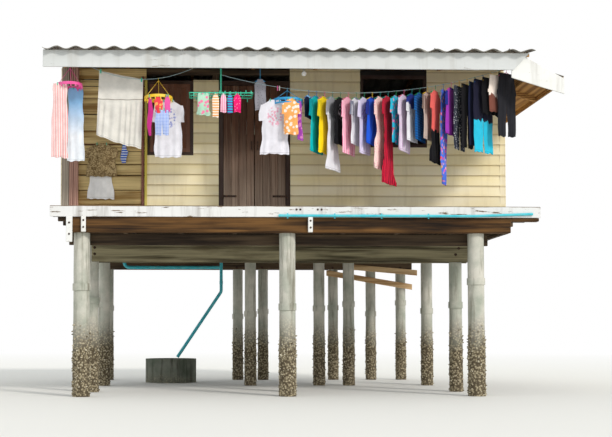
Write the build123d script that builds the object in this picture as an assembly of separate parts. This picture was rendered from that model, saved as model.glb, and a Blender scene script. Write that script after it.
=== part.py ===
from build123d import *

import math
import os

# Stilt house over water: round concrete stilts carry twin beams, joists and a timber floor.
# One room stands behind an open porch, under a low gable roof of corrugated sheets.
# Units are millimetres. X runs along the front, Y runs from the front into the house, Z is up.
# The origin is on the water line, in the middle of the plan.

# Plan
deck_width = 6460.0
porch_depth = 1200.0
room_depth = 4300.0

# Heights above the water line
deck_top = 2500.0
roof_front_z = 4555.0
roof_pitch = 10.0

# Stilts
front_stilt_diameter = 215.0
stilt_diameter = 180.0
front_stilt_inset = 185.0
collar_width = 12.0
collar_height = 90.0
beam_seat_depth = 15.0
stilt_top_gap = 15.0
wall_row_offset = 100.0
middle_row_offset = 2000.0
back_row_inset = 120.0

# The outer stilts are set in from the sides of the deck, and the others are placed from its middle
front_row_left_inset = 400.0
rear_row_left_inset = 430.0
back_row_left_inset = 310.0
row_right_inset = 820.0
front_row_inner = (-110.0,)
wall_row_inner = (0.0,)
middle_row_inner = (-450.0, 660.0, 1140.0)
back_row_inner = (-570.0, -110.0, 1170.0, 1860.0)
front_collar_heights = (1440.0, 1180.0, 1520.0)
collar_heights = (1300.0, 1150.0, 1240.0, 1310.0, 1200.0, 1400.0)

# Twin beams bolted to the stilts, joists and floor
beam_thickness = 50.0
wall_beam_height = 305.0
rear_beam_height = 150.0
beam_left_overhang = 180.0
wall_beam_left_overhang = 0.0
beam_right_overhang = 190.0
header_thickness = 110.0
joist_width = 60.0
joist_height = 200.0
joist_count = 9
joist_left_inset = 250.0
joist_right_inset = 420.0
header_ledge_height = 45.0
header_ledge_end_inset = 15.0
bearer_width = 50.0
bearer_height = 115.0
bearer_count = 11
bearer_end_inset = 30.0
floor_thickness = 30.0
edge_board_thickness = 20.0
bracket_width = 60.0
bracket_height = 200.0
bracket_thickness = 45.0
bracket_left_inset = 440.0
bracket_middle_x = 180.0
corner_plank_inset = 255.0
corner_plank_width = 80.0
corner_plank_height = 330.0

# Walls: boards on a timber frame
wall_thickness = 25.0
wall_left_inset = 0.0
wall_right_inset = 120.0
post_size = 90.0
plate_height = 75.0
vent_height = 95.0

# Front wall from left to right: planks, shuttered window, board strip, double door, boards, open window
plank_bay_width = 1193.0
front_window_width = 672.0
front_window_sill = 873.0
window_to_door = 365.0
door_width = 1020.0
door_to_right_window = 1012.0
right_window_width = 960.0
right_window_sill = 1000.0
window_frame_size = 45.0
window_frame_depth = 70.0
window_frame_projection = 12.0
shutter_thickness = 22.0
shutter_gap = 4.0  # between the two leaves of a pair

# Side and back windows
side_window_width = 760.0
side_window_height = 900.0
side_window_sill = 800.0
back_window_offset = 1500.0

# Double door
jamb_width = 60.0
jamb_depth = 90.0
jamb_projection = 20.0
leaf_thickness = 40.0
leaf_side_gap = 6.0
leaf_middle_gap = 8.0
leaf_bottom_gap = 10.0
leaf_top_gap = 8.0
leaf_stop_gap = 5.0
stop_width = 15.0
ledge_height = 110.0
ledge_thickness = 20.0
ledge_inset = 45.0
ledge_heights = (230.0, 900.0, 1600.0)
pin_radius = 5.0
pin_clearance = 0.05
eye_radius = 9.0
eye_height = 30.0
eye_lift = 0.5
pintle_radius = 8.0
pintle_height = 16.0
pintle_reach = 34.0
strap_length = 190.0
strap_thickness = 3.0
hinge_heights = (270.0, 1560.0)
pull_width = 16.0
pull_length = 120.0
pull_projection = 32.0
pull_thickness = 8.0
pull_height = 950.0
pull_inset = 40.0

# Roof
sheet_pitch = 250.0
sheet_depth = 44.0
sheet_thickness = 6.0
roof_left_overhang = 105.0
sheet_overhang = 90.0
back_eave = 400.0
purlin_width = 50.0
purlin_height = 50.0
purlins_per_slope = 4
rafter_width = 50.0
rafter_height = 100.0
rafter_count = 8
fascia_height = 228.0
fascia_thickness = 20.0
fascia_right_inset = 117.0
fascia_end_cut = 220.0
ridge_cap_width = 320.0
ridge_cap_thickness = 6.0

# Side roof over the right wall
side_roof_pitch = 17.0
side_roof_width = 470.0
side_roof_top_z = 4365.0
side_rafter_count = 6
side_rafter_height = 70.0
side_roof_boards = 15.0
side_board_thickness = 20.0
rake_board_height = 207.0
rake_board_overlap = 237.0
rake_peak_inset = 48.0
eave_board_height = 60.0

# Pipes and the concrete ring under the house
water_pipe_diameter = 34.0
water_pipe_left_x = -240.0
water_pipe_right_inset = 110.0
water_pipe_bend_inset = 880.0
water_pipe_rise = 30.0
drain_diameter = 55.0
drain_end_offset = 110.0
drain_end_z = 430.0
drain_joist_gap = 314.0
drain_z = 1980.0
drain_bend_z = 1560.0
drain_bend_radius = 90.0
ring_diameter = 870.0
ring_wall = 60.0
ring_height = 405.0
ring_x = -1760.0

# Sloping braces on the back row: for each end its inset from the deck's right edge and its height
brace_thickness = 30.0
brace_height = 100.0
upper_brace = (1880.0, 2059.0, 540.0, 1942.0)
lower_brace = (2190.0, 1940.0, 630.0, 1686.0)

# Porch lamp
lamp_x = 205.0
lamp_base_radius = 38.0
lamp_base_height = 30.0
lamp_stem_radius = 14.0
lamp_stem_height = 150.0
lamp_bulb_radius = 34.0

# Left porch post
porch_post_width = 230.0
porch_post_depth = 95.0
porch_post_inset = 5.0

# Laundry in the porch, on a rail under the rafters and on lines. Offsets are from the deck's left edge
line_setback = 300.0
line_diameter = 6.0
rail_size = 40.0
main_line_start_z = 4308.0
main_line_low_offset = 3960.0
main_line_low_z = 4074.0
main_line_end_z = 4480.0
side_line_offset = 480.0
side_line_span = 1420.0
side_line_sag = 173.0
rack_offset = 2240.0
rack_z = 4030.0
rack_width = 860.0
rack_depth = 320.0
rack_bar = 12.0
rack_stem_diameter = 22.0
hoop_height = 12.0
hoop_band = 16.0
hoop_hook = 25.0
strut_diameter = 6.0
pink_hoop = (215.0, 4152.0, 170.0)
yellow_hoop = (1401.0, 3984.0, 190.0)
blue_hoop = (3135.0, 3950.0, 210.0)
pole_diameter = 35.0
pole_offset = 1145.0
pole_top_z = 4500.0
low_line_z = 3525.0

# Clothes on the main line: (width, length, hem width) of each kind, and their order from the left
cloth_thickness = 30.0
thin_cloth_thickness = 10.0
hook_width = 8.0
hook_drop = 70.0
shoulder_drop = 70.0
clothes_turn = 32.0
more_turn_step = 3.5
more_turn_count = 8
clothes_start_offset = 3425.0
clothes_end_gap = 150.0
kinds = {
    "vest": (300.0, 300.0, 300.0),
    "shirt": (400.0, 760.0, 420.0),
    "blouse": (380.0, 640.0, 400.0),
    "shorts": (330.0, 500.0, 380.0),
    "dress": (380.0, 980.0, 440.0),
    "gown": (360.0, 1180.0, 440.0),
    "scarf": (260.0, 1290.0, 300.0),
    "trousers": (330.0, 860.0, 260.0),
}
line_clothes = (
    "vest", "shirt", "shirt", "dress", "blouse", "shirt", "blouse", "shirt", "blouse",
    "dress", "gown", "blouse", "shirt", "blouse", "blouse", "blouse", "dress", "scarf",
    "blouse", "trousers", "trousers", "trousers", "dress", "shorts", "shorts", "trousers",
)

# Clothes on each hanger: (offset to the right of its middle, width, length, front -1 or back 1)
pink_hoop_clothes = ((-124.0, 225.0, 990.0, -1), (67.0, 235.0, 990.0, 1))
yellow_hoop_clothes = ((130.0, 430.0, 770.0, 1), (56.0, 225.0, 525.0, -1), (-106.0, 80.0, 525.0, -1))
blue_hoop_clothes = ((-175.0, 430.0, 730.0, -1), (30.0, 240.0, 480.0, -1), (150.0, 80.0, 545.0, -1))
rack_clothes = (
    (-225.0, 130.0, 300.0),
    (-75.0, 80.0, 320.0),
    (35.0, 80.0, 250.0),
    (115.0, 70.0, 260.0),
    (205.0, 90.0, 250.0),
)

# Flat pieces: offsets of the left and right edge, and heights of the lower and upper edge
side_cloth_top = (605.0, 1194.0)
side_cloth_foot = (570.0, 3490.0, 1170.0, 3305.0)
grey_top = (2680.0, 2860.0, 3837.0, 4287.0)
low_line_clothes = ((324.0, 808.0, 2745.0, 3525.0), (825.0, 942.0, 3262.0, 3525.0))

# Derived lines: front_y is the front edge of the deck, and the roof's plan is centred on the origin
deck_shift_x = (roof_left_overhang + wall_right_inset - side_roof_width) / 2
front_y = -(porch_depth + room_depth + back_eave) / 2
wall_y = front_y + porch_depth
back_y = wall_y + room_depth
deck_left_x = deck_shift_x - deck_width / 2
deck_right_x = deck_shift_x + deck_width / 2
wall_left_x = deck_left_x + wall_left_inset
wall_right_x = deck_right_x - wall_right_inset
roof_left_x = deck_left_x - roof_left_overhang
fascia_right_x = deck_right_x - fascia_right_inset
plank_bay_right_x = deck_left_x + plank_bay_width
front_window_right_x = plank_bay_right_x + front_window_width
door_left_x = front_window_right_x + window_to_door
door_right_x = door_left_x + door_width
right_window_left_x = door_right_x + door_to_right_window
bearer_top = deck_top - floor_thickness
joist_top = bearer_top - bearer_height
joist_bottom = joist_top - joist_height
slope = math.tan(math.radians(roof_pitch))
ridge_y = (front_y + back_y + back_eave) / 2
wall_row_y = wall_y + wall_row_offset
front_row_y = front_y + front_stilt_inset
middle_row_y = wall_y + middle_row_offset
back_row_y = back_y - back_row_inset
line_y = front_y + line_setback
frame_top = roof_front_z - purlin_height - rafter_height
door_head_z = frame_top + porch_depth * slope - plate_height - vent_height
timber_y = wall_y + wall_thickness


def place(x):
    """A side position measured from the middle of the deck, in the model's own X."""
    return deck_shift_x + x


def row_places(left_inset, inner):
    """The X of each stilt in a row, from left to right."""
    return [deck_left_x + left_inset, *[place(x) for x in inner], deck_right_x - row_right_inset]


front_row = row_places(front_row_left_inset, front_row_inner)
wall_row = row_places(rear_row_left_inset, wall_row_inner)
middle_row = row_places(rear_row_left_inset, middle_row_inner)
back_row = row_places(back_row_left_inset, back_row_inner)


def block(low, high):
    """A box between two corners."""
    size = [h - l for l, h in zip(low, high)]
    middle = [(h + l) / 2 for l, h in zip(low, high)]
    return Pos(*middle) * Box(*size)


def prism_x(points, x0, x1):
    """A solid with its outline in the YZ plane, from x0 to x1."""
    outline = Polyline(*[(x0, y, z) for y, z in points], close=True)
    return extrude(make_face(outline), amount=x1 - x0, dir=(1, 0, 0))


def prism_y(points, y0, y1):
    """A solid with its outline in the XZ plane, from y0 to y1."""
    outline = Polyline(*[(x, y0, z) for x, z in points], close=True)
    return extrude(make_face(outline), amount=y1 - y0, dir=(0, 1, 0))


def sheet_z(y):
    """Height of the underside of the roof sheets at y."""
    run = min(y, 2 * ridge_y - y) - front_y
    return roof_front_z + run * slope


def rod(start, end, radius):
    """A round bar between two points."""
    start, end = Vector(*start), Vector(*end)
    along = end - start
    return Solid.make_cylinder(radius, along.length, Plane(start, z_dir=along))


def off(x):
    """A side position measured from the deck's left edge, in the model's own X."""
    return deck_left_x + x


def save(name, *solids):
    """Writes one named sub-part, which may hold several solids."""
    pieces = [solid for part in solids for solid in part.solids()]
    whole = pieces[0] if len(pieces) == 1 else Compound(children=pieces)
    export_step(whole, f"parts/{name}.step")


def stilt(x, y, diameter, top, collar_z):
    """A round stilt with a socket collar where its two lengths meet."""
    radius = diameter / 2
    shaft = Pos(x, y, top / 2) * Cylinder(radius, top)
    collar = Pos(x, y, collar_z) * Cylinder(radius + collar_width, collar_height)
    return shaft + collar


def beam_faces(row_y, diameter):
    """The inner faces of the twin beams that clamp a row of stilts."""
    reach = diameter / 2 - beam_seat_depth
    return row_y - reach, row_y + reach


def seated(column, row_y, diameter, beam_bottom, sides=(True, True)):
    """Cuts the flats that the twin beams sit in."""
    front_face, back_face = beam_faces(row_y, diameter)
    box = column.bounding_box()
    low_x, high_x = box.min.X - diameter, box.max.X + diameter
    if sides[0]:
        column -= block((low_x, front_face - diameter, beam_bottom), (high_x, front_face, joist_top))
    if sides[1]:
        column -= block((low_x, back_face, beam_bottom), (high_x, back_face + diameter, joist_top))
    return column


def stilt_row(places, row_y, top, beam_bottom):
    """One row of stilts, each with flats for the beams on both sides."""
    return [
        seated(stilt(x, row_y, stilt_diameter, top, z), row_y, stilt_diameter, beam_bottom)
        for x, z in zip(places, collar_heights)
    ]


def make_stilts():
    top = joist_bottom - stilt_top_gap
    beam_bottom = joist_bottom - rear_beam_height
    front = [
        seated(
            stilt(x, front_row_y, front_stilt_diameter, joist_bottom, z),
            front_row_y,
            front_stilt_diameter,
            beam_bottom,
            (False, True),
        )
        for x, z in zip(front_row, front_collar_heights)
    ]
    save("stilts_front", *front)
    rear = stilt_row(wall_row, wall_row_y, top, joist_bottom - wall_beam_height)
    rear += stilt_row(middle_row, middle_row_y, top, beam_bottom)
    rear += stilt_row(back_row, back_row_y, top, beam_bottom)
    save("stilts_rear", *rear)


def row_beams(places, row_y, diameter, height, left_overhang, sides=(True, True)):
    """One or two planks on edge, bolted to the faces of a row of stilts."""
    front_face, back_face = beam_faces(row_y, diameter)
    left = places[0] - left_overhang
    right = places[-1] + beam_right_overhang
    bottom = joist_bottom - height
    planks = []
    if sides[0]:
        planks.append(block((left, front_face - beam_thickness, bottom), (right, front_face, joist_bottom)))
    if sides[1]:
        planks.append(block((left, back_face, bottom), (right, back_face + beam_thickness, joist_bottom)))
    return planks


def make_beams():
    height, overhang = rear_beam_height, beam_left_overhang
    beams = row_beams(front_row, front_row_y, front_stilt_diameter, height, overhang, (False, True))
    beams += row_beams(middle_row, middle_row_y, stilt_diameter, height, overhang)
    beams += row_beams(back_row, back_row_y, stilt_diameter, height, overhang)
    save("cross_beams", *beams)
    deep = row_beams(wall_row, wall_row_y, stilt_diameter, wall_beam_height, wall_beam_left_overhang)
    save("deep_beams", *deep)


def joist_positions():
    """Centre lines of the joists, evenly spaced between the two edge joists."""
    left, right = deck_left_x + joist_left_inset, deck_right_x - joist_right_inset
    step = (right - left) / (joist_count - 1)
    return [left + i * step for i in range(joist_count)]


def bearer_positions():
    """Front faces of the bearers that lie on the joists."""
    header_y = front_y + edge_board_thickness
    step = (back_y - header_y - bearer_width) / (bearer_count - 1)
    return [header_y + i * step for i in range(bearer_count)]


def make_floor():
    header_y = front_y + edge_board_thickness
    joist_y = header_y + header_thickness
    half = joist_width / 2
    joists = [
        block((x - half, joist_y, joist_bottom), (x + half, back_y, joist_top))
        for x in joist_positions()
    ]
    save("floor_joists", *joists)
    left, right = joist_positions()[0] - half, joist_positions()[-1] + half
    header = block((left, header_y, joist_bottom), (right, joist_y, joist_top))
    ledge_end = deck_right_x - header_ledge_end_inset
    header += block((right, header_y, joist_top - header_ledge_height), (ledge_end, joist_y, joist_top))
    save("joist_header", header)
    left, right = deck_left_x + bearer_end_inset, deck_right_x - bearer_end_inset
    bearers = [
        block((left, y, joist_top), (right, y + bearer_width, bearer_top)) for y in bearer_positions()
    ]
    save("floor_bearers", *bearers)
    save("floor_boards", block((deck_left_x, header_y, bearer_top), (deck_right_x, back_y, deck_top)))
    save(
        "deck_edge_board",
        block((deck_left_x, front_y, joist_top), (deck_right_x, header_y, deck_top)),
    )
    stubs = (
        (deck_left_x + corner_plank_inset, corner_plank_width, corner_plank_height),
        (deck_left_x + bracket_left_inset, bracket_width, bracket_height),
        (place(bracket_middle_x), bracket_width, bracket_height),
    )
    brackets = [
        block(
            (x - width / 2, header_y - bracket_thickness, joist_top - height),
            (x + width / 2, header_y, joist_top),
        )
        for x, width, height in stubs
    ]
    save("deck_brackets", *brackets)


def board_wall(outline, openings, y0):
    """A board wall in the XZ plane with its openings cut through."""
    wall = prism_y(outline, y0, y0 + wall_thickness)
    for x0, x1, z0, z1 in openings:
        wall -= block((x0, y0 - wall_thickness, z0), (x1, y0 + 2 * wall_thickness, z1))
    return wall


def front_wall_top():
    return frame_top + porch_depth * slope


def right_window_box():
    top = front_wall_top() - plate_height
    left = right_window_left_x
    return left, left + right_window_width, deck_top + right_window_sill, top


def front_window_box():
    return plank_bay_right_x, front_window_right_x, deck_top + front_window_sill, door_head_z


def make_front_wall():
    top = front_wall_top()
    plank_right = plank_bay_right_x
    window = front_window_box()
    save(
        "front_wall_plank_bay",
        block((wall_left_x, wall_y, deck_top), (plank_right, timber_y, top)),
    )
    panel = [(plank_right, deck_top), (door_left_x, deck_top)]
    panel += [(door_left_x, door_head_z), (plank_right, door_head_z)]
    save("front_wall_window_bay", board_wall(panel, [window], wall_y))
    panel = [(door_right_x, deck_top), (wall_right_x, deck_top), (wall_right_x, top), (door_right_x, top)]
    save("front_wall_right_bay", board_wall(panel, [right_window_box()], wall_y))


def gable_outline(y0, y1):
    """The outline of a side wall, up to the underside of the purlins."""
    heights = [(y, sheet_z(y) - purlin_height) for y in (y1, ridge_y, y0)]
    return [(y0, deck_top), (y1, deck_top)] + heights


def side_window_span():
    middle = (wall_y + back_y) / 2
    sill = deck_top + side_window_sill
    half = side_window_width / 2
    return middle - half, middle + half, sill, sill + side_window_height


def back_window_spans():
    sill = deck_top + side_window_sill
    half = side_window_width / 2
    middle = (wall_left_x + wall_right_x) / 2
    centres = (middle - back_window_offset, middle + back_window_offset)
    return [(x - half, x + half, sill, sill + side_window_height) for x in centres]


def make_other_walls():
    outline = gable_outline(timber_y, back_y - wall_thickness)
    y0, y1, z0, z1 = side_window_span()
    left = prism_x(outline, wall_left_x, wall_left_x + wall_thickness)
    right = prism_x(outline, wall_right_x - wall_thickness, wall_right_x)
    cut_low, cut_high = wall_right_x - 2 * wall_thickness, wall_right_x + wall_thickness
    save("left_wall", left)
    save("right_wall", right - block((cut_low, y0, z0), (cut_high, y1, z1)))
    top = sheet_z(back_y) - purlin_height - rafter_height
    panel = [(wall_left_x, deck_top), (wall_right_x, deck_top), (wall_right_x, top), (wall_left_x, top)]
    save("back_wall", board_wall(panel, back_window_spans(), back_y - wall_thickness))


def make_frame():
    """Posts inside the walls and the plates that carry the rafters."""
    front0, front1 = timber_y, timber_y + post_size
    back1 = back_y - wall_thickness
    back0 = back1 - post_size
    left, right = wall_left_x + wall_thickness, wall_right_x - wall_thickness
    front_plate_top = frame_top + (front0 - front_y) * slope
    back_plate_top = sheet_z(back1) - purlin_height - rafter_height
    window_left = plank_bay_right_x - post_size
    post_x = (left, window_left, door_left_x - post_size, door_right_x, right - post_size)
    front_posts = [
        block((x, front0, deck_top), (x + post_size, front1, front_plate_top - plate_height)) for x in post_x
    ]
    back_posts = [
        block((x, back0, deck_top), (x + post_size, back1, back_plate_top - plate_height))
        for x in (left, (left + right - post_size) / 2, right - post_size)
    ]
    save("wall_posts", *front_posts, *back_posts)
    rise = post_size * slope
    front_plate = prism_x(
        [
            (front0, front_plate_top - plate_height),
            (front1, front_plate_top - plate_height),
            (front1, front_plate_top + rise),
            (front0, front_plate_top),
        ],
        left,
        right,
    )
    back_plate = prism_x(
        [
            (back0, back_plate_top - plate_height),
            (back1, back_plate_top - plate_height),
            (back1, back_plate_top),
            (back0, back_plate_top + rise),
        ],
        left,
        right,
    )
    save("wall_plates", front_plate, back_plate)


def casing(x0, x1, z0, z1, y0):
    """A window frame in the XZ plane, with its outer face at y0."""
    frame = block((x0, y0, z0), (x1, y0 + window_frame_depth, z1))
    edge = window_frame_size
    inner = ((x0 + edge, y0 - edge, z0 + edge), (x1 - edge, y0 + 2 * window_frame_depth, z1 - edge))
    return frame - block(*inner)


def shutter_pair(x0, x1, z0, z1, y0):
    """Two closed board shutters that fill a window frame."""
    edge = window_frame_size
    middle = (x0 + x1) / 2
    y1 = y0 + shutter_thickness
    left = block((x0 + edge, y0, z0 + edge), (middle - shutter_gap / 2, y1, z1 - edge))
    right = block((middle + shutter_gap / 2, y0, z0 + edge), (x1 - edge, y1, z1 - edge))
    return [left, right]


def stand_on_right_wall(solid):
    """Turns a window made in the XZ plane at Y = 0 so that it faces +X on the right wall."""
    return Pos(wall_right_x, 0, 0) * Rot(0, 0, 90) * solid


def stand_on_back_wall(solid):
    """Turns a window made in the XZ plane at Y = 0 so that it faces +Y on the back wall."""
    return Pos(0, back_y, 0) * Rot(0, 0, 180) * solid


def make_windows():
    face = wall_y - window_frame_projection
    front_frames = [casing(*span, face) for span in (front_window_box(), right_window_box())]
    side = side_window_span()
    frames = front_frames + [stand_on_right_wall(casing(*side, -window_frame_projection))]
    shutters = shutter_pair(*front_window_box(), wall_y)
    shutters += [stand_on_right_wall(s) for s in shutter_pair(*side, 0)]
    for x0, x1, z0, z1 in back_window_spans():
        frames.append(stand_on_back_wall(casing(-x1, -x0, z0, z1, -window_frame_projection)))
        shutters += [stand_on_back_wall(s) for s in shutter_pair(-x1, -x0, z0, z1, 0)]
    save("window_frames", *frames)
    save("window_shutters", *shutters)


def leaf_width():
    clear = door_width - 2 * jamb_width
    return (clear - 2 * leaf_side_gap - leaf_middle_gap) / 2


def pin_positions():
    """The X of the left and the right hinge pin, in the middle of each side gap."""
    left = door_left_x + jamb_width + leaf_side_gap / 2
    right = door_right_x - jamb_width - leaf_side_gap / 2
    return left, right


def door_face():
    return wall_y - jamb_projection


def make_door_frame():
    left, right = door_left_x, door_right_x
    face, back = door_face(), door_face() + jamb_depth
    stop_front = face + leaf_thickness + leaf_stop_gap
    frame = block((left, face, deck_top), (right, back, door_head_z))
    opening_top = door_head_z - jamb_width
    frame -= block(
        (left + jamb_width, face - jamb_depth, deck_top - jamb_width),
        (right - jamb_width, back + jamb_depth, opening_top),
    )
    for x0 in (left + jamb_width, right - jamb_width - stop_width):
        frame += block((x0, stop_front, deck_top), (x0 + stop_width, back, opening_top))
    frame += block(
        (left + jamb_width, stop_front, opening_top - stop_width), (right - jamb_width, back, opening_top)
    )
    save("door_frame", frame)


def pintle(pin_x, side, z):
    """A fixed hinge pin on its bracket, which lies to the left (side -1) or right (side 1) of the pin."""
    face = door_face()
    pin_y = face - eye_radius
    reach = pin_x + side * pintle_reach
    bracket = block(
        (min(pin_x, reach), pin_y - pintle_radius, z - pintle_height), (max(pin_x, reach), face, z)
    )
    boss = rod((pin_x, pin_y, z - pintle_height), (pin_x, pin_y, z), pintle_radius)
    pin = rod((pin_x, pin_y, z), (pin_x, pin_y, z + eye_height + 2 * pin_radius), pin_radius)
    return bracket + boss + pin


def make_pintles():
    left, right = pin_positions()
    pintles = [pintle(left, -1, deck_top + z) for z in hinge_heights]
    pintles += [pintle(right, 1, deck_top + z) for z in hinge_heights]
    save("door_pintles", *pintles)


def make_leaf(name, pin_x, side):
    """A board leaf that reaches from its pin towards side, with strap hinges, ledges and a pull."""
    face = door_face()
    pin_y = face - eye_radius
    near = pin_x + side * leaf_side_gap / 2
    far = near + side * leaf_width()
    x0, x1 = min(near, far), max(near, far)
    z0, z1 = deck_top + leaf_bottom_gap, door_head_z - jamb_width - leaf_top_gap
    inner = face + leaf_thickness - ledge_thickness
    boards = block((x0, face, z0), (x1, inner, z1))
    for z in ledge_heights:
        low = (x0 + ledge_inset, inner, deck_top + z)
        boards += block(low, (x1 - ledge_inset, face + leaf_thickness, deck_top + z + ledge_height))
    straps = []
    for height in hinge_heights:
        z = deck_top + height + eye_lift
        end = pin_x + side * strap_length
        strap = block(
            (min(pin_x, end), face - strap_thickness, z), (max(pin_x, end), face, z + eye_height)
        )
        strap += rod((pin_x, pin_y, z), (pin_x, pin_y, z + eye_height), eye_radius)
        strap -= rod((pin_x, pin_y, z), (pin_x, pin_y, z + eye_height), pin_radius + pin_clearance)
        straps.append(strap)
    pull_x = far - side * pull_inset
    z = deck_top + pull_height
    half = pull_width / 2
    pull = block((pull_x - half, face - pull_projection, z), (pull_x + half, face, z + pull_length))
    pull -= block(
        (pull_x - half, face - pull_projection + pull_thickness, z + pull_thickness),
        (pull_x + half, face, z + pull_length - pull_thickness),
    )
    save(name, boards)
    save(name.replace("leaf", "ironwork"), *straps, pull)


def make_door():
    left, right = pin_positions()
    make_door_frame()
    make_pintles()
    make_leaf("door_leaf_left", left, 1)
    make_leaf("door_leaf_right", right, -1)


def wave_points(count, pitch, depth):
    """Arcs of a corrugated line: (start, top of arc, end) for each half wave from x = 0."""
    half, arcs = pitch / 2, []
    for i in range(2 * count):
        sign = 1 if i % 2 else -1
        x = i * half
        middle = depth / 2
        arcs.append(((x, middle), (x + half / 2, middle + sign * middle), (x + half, middle)))
    return arcs


def corrugated(count, start, along, across, length):
    """A corrugated sheet: its wave runs along one unit vector from start, and it is extruded across."""
    start, along, across = Vector(*start), Vector(*along), Vector(*across)

    def at(point, lift):
        return start + along * point[0] + Vector(0, 0, point[1] + lift)

    arcs = wave_points(count, sheet_pitch, sheet_depth - sheet_thickness)
    lower = [ThreePointArc(*[at(p, 0) for p in arc]) for arc in arcs]
    upper = [ThreePointArc(*[at(p, sheet_thickness) for p in arc]) for arc in arcs]
    ends = [
        Line(at(arcs[0][0], 0), at(arcs[0][0], sheet_thickness)),
        Line(at(arcs[-1][2], 0), at(arcs[-1][2], sheet_thickness)),
    ]
    face = make_face(lower + upper + ends)
    return extrude(face, amount=length, dir=across)


def rafter(x, y0, y1, bottom_drop, height):
    """A rafter along one roof slope. Its top lies bottom_drop below the underside of the sheets."""
    tops = [(y, sheet_z(y) - bottom_drop) for y in (y0, y1)]
    outline = tops + [(y, z - height) for y, z in reversed(tops)]
    return prism_x(outline, x, x + rafter_width)


def rafter_positions():
    """Left faces of the rafters, from just inside one side wall to just inside the other."""
    left = wall_left_x + wall_thickness
    right = wall_right_x - wall_thickness - rafter_width
    step = (right - left) / (rafter_count - 1)
    return [left + i * step for i in range(rafter_count)]


def make_rafters():
    front_end = front_y + fascia_thickness + side_board_thickness
    rear_end = back_y + back_eave
    rafters = []
    for x in rafter_positions():
        front = rafter(x, front_end, ridge_y, purlin_height, rafter_height)
        back = rafter(x, ridge_y, rear_end, purlin_height, rafter_height)
        rafters.append(front + back)
    save("roof_rafters", *rafters)


def purlin(y0, y1):
    tops = [(y, sheet_z(y)) for y in (y0, y1)]
    outline = tops + [(y, z - purlin_height) for y, z in reversed(tops)]
    return prism_x(outline, roof_left_x, fascia_right_x)


def purlin_positions():
    """Front faces of the purlins on the front slope, from the eave to the ridge."""
    front_end = front_y + fascia_thickness
    step = (ridge_y - front_end - purlin_width) / (purlins_per_slope - 1)
    return [front_end + i * step for i in range(purlins_per_slope)]


def make_purlins():
    rear_end = back_y + back_eave
    spans = [(y, y + purlin_width) for y in purlin_positions()]
    spans += [(2 * ridge_y - y1, 2 * ridge_y - y0) for y0, y1 in spans[1:]]
    spans.append((rear_end - purlin_width, rear_end))
    purlins = [purlin(y0, y1) for y0, y1 in spans]
    save("roof_purlins", *purlins)


def sheet_count():
    return math.ceil((fascia_right_x - roof_left_x) / sheet_pitch)


def make_roof_sheets():
    count = sheet_count()
    left = roof_left_x
    rear_end = back_y + back_eave
    front_start = front_y - sheet_overhang
    back_end = rear_end + sheet_overhang
    pitch = math.radians(roof_pitch)
    front_length = (ridge_y - front_start) / math.cos(pitch)
    back_length = (back_end - ridge_y) / math.cos(pitch)
    up = (0, math.cos(pitch), math.sin(pitch))
    down = (0, math.cos(pitch), -math.sin(pitch))
    start = (left, front_start, sheet_z(front_start))
    front = corrugated(count, start, (1, 0, 0), up, front_length)
    back = corrugated(count, (left, ridge_y, sheet_z(ridge_y)), (1, 0, 0), down, back_length)
    save("roof_sheets_front", front)
    save("roof_sheets_back", back)
    half = ridge_cap_width / 2
    crest = sheet_z(ridge_y) + sheet_depth
    drop = half * slope
    outline = [
        (ridge_y - half, crest - drop),
        (ridge_y, crest),
        (ridge_y + half, crest - drop),
        (ridge_y + half, crest - drop + ridge_cap_thickness),
        (ridge_y, crest + ridge_cap_thickness),
        (ridge_y - half, crest - drop + ridge_cap_thickness),
    ]
    save("ridge_cap", prism_x(outline, left, left + count * sheet_pitch))


def make_fascia():
    """The board along the front eave, cut at a slant where the rake board passes behind it."""
    top, bottom = roof_front_z, roof_front_z - fascia_height
    outline = [
        (roof_left_x, bottom),
        (fascia_right_x - fascia_end_cut, bottom),
        (fascia_right_x, top),
        (roof_left_x, top),
    ]
    save("front_fascia", prism_y(outline, front_y, front_y + fascia_thickness))


def make_side_roof():
    """A narrow lean-to over the right wall, falling to the right."""
    pitch = math.radians(side_roof_pitch)
    fall = math.tan(pitch)
    y0, y1 = front_y + fascia_thickness, back_y
    x0 = wall_right_x
    x1 = x0 + side_roof_width
    board = side_board_thickness

    def top_z(x):
        return side_roof_top_z - (x - x0) * fall

    def slab(near, far, lift, height, y_start, y_end):
        outline = [
            (near, top_z(near) + lift - height),
            (far, top_z(far) + lift - height),
            (far, top_z(far) + lift),
            (near, top_z(near) + lift),
        ]
        return prism_y(outline, y_start, y_end)

    frame_y = y0 + board
    count = math.ceil((y1 - frame_y) / sheet_pitch)
    length = side_roof_width / math.cos(pitch)
    start = (x0, frame_y, top_z(x0) + side_roof_boards)
    down = (math.cos(pitch), 0, -math.sin(pitch))
    sheets = corrugated(count, start, (0, 1, 0), down, length)
    spare = block((x0, y1, 0), (x1, y1 + sheet_pitch, 2 * side_roof_top_z))
    save("side_roof_sheets", sheets - spare)
    frame = slab(x0, x1, side_roof_boards, side_roof_boards, frame_y, y1)
    frame += slab(x0, x0 + board, 0, side_rafter_height + eave_board_height, frame_y, y1)
    frame += slab(x1 - board, x1, 0, eave_board_height, frame_y, y1)
    step = (y1 - rafter_width - frame_y) / (side_rafter_count - 1)
    for i in range(side_rafter_count):
        y = frame_y + i * step
        frame += slab(x0, x1 - board, 0, side_rafter_height, y, y + rafter_width)
    save("side_roof_frame", frame)
    rake_left, rake_top = x0 - rake_board_overlap, roof_front_z - purlin_height
    outline = [
        (rake_left, top_z(rake_left) - rake_board_height),
        (x1, top_z(x1) - rake_board_height),
        (x1, top_z(x1)),
        (fascia_right_x - rake_peak_inset, rake_top),
        (rake_left, rake_top),
    ]
    save("side_rake_board", prism_y(outline, y0, y0 + board))


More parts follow.
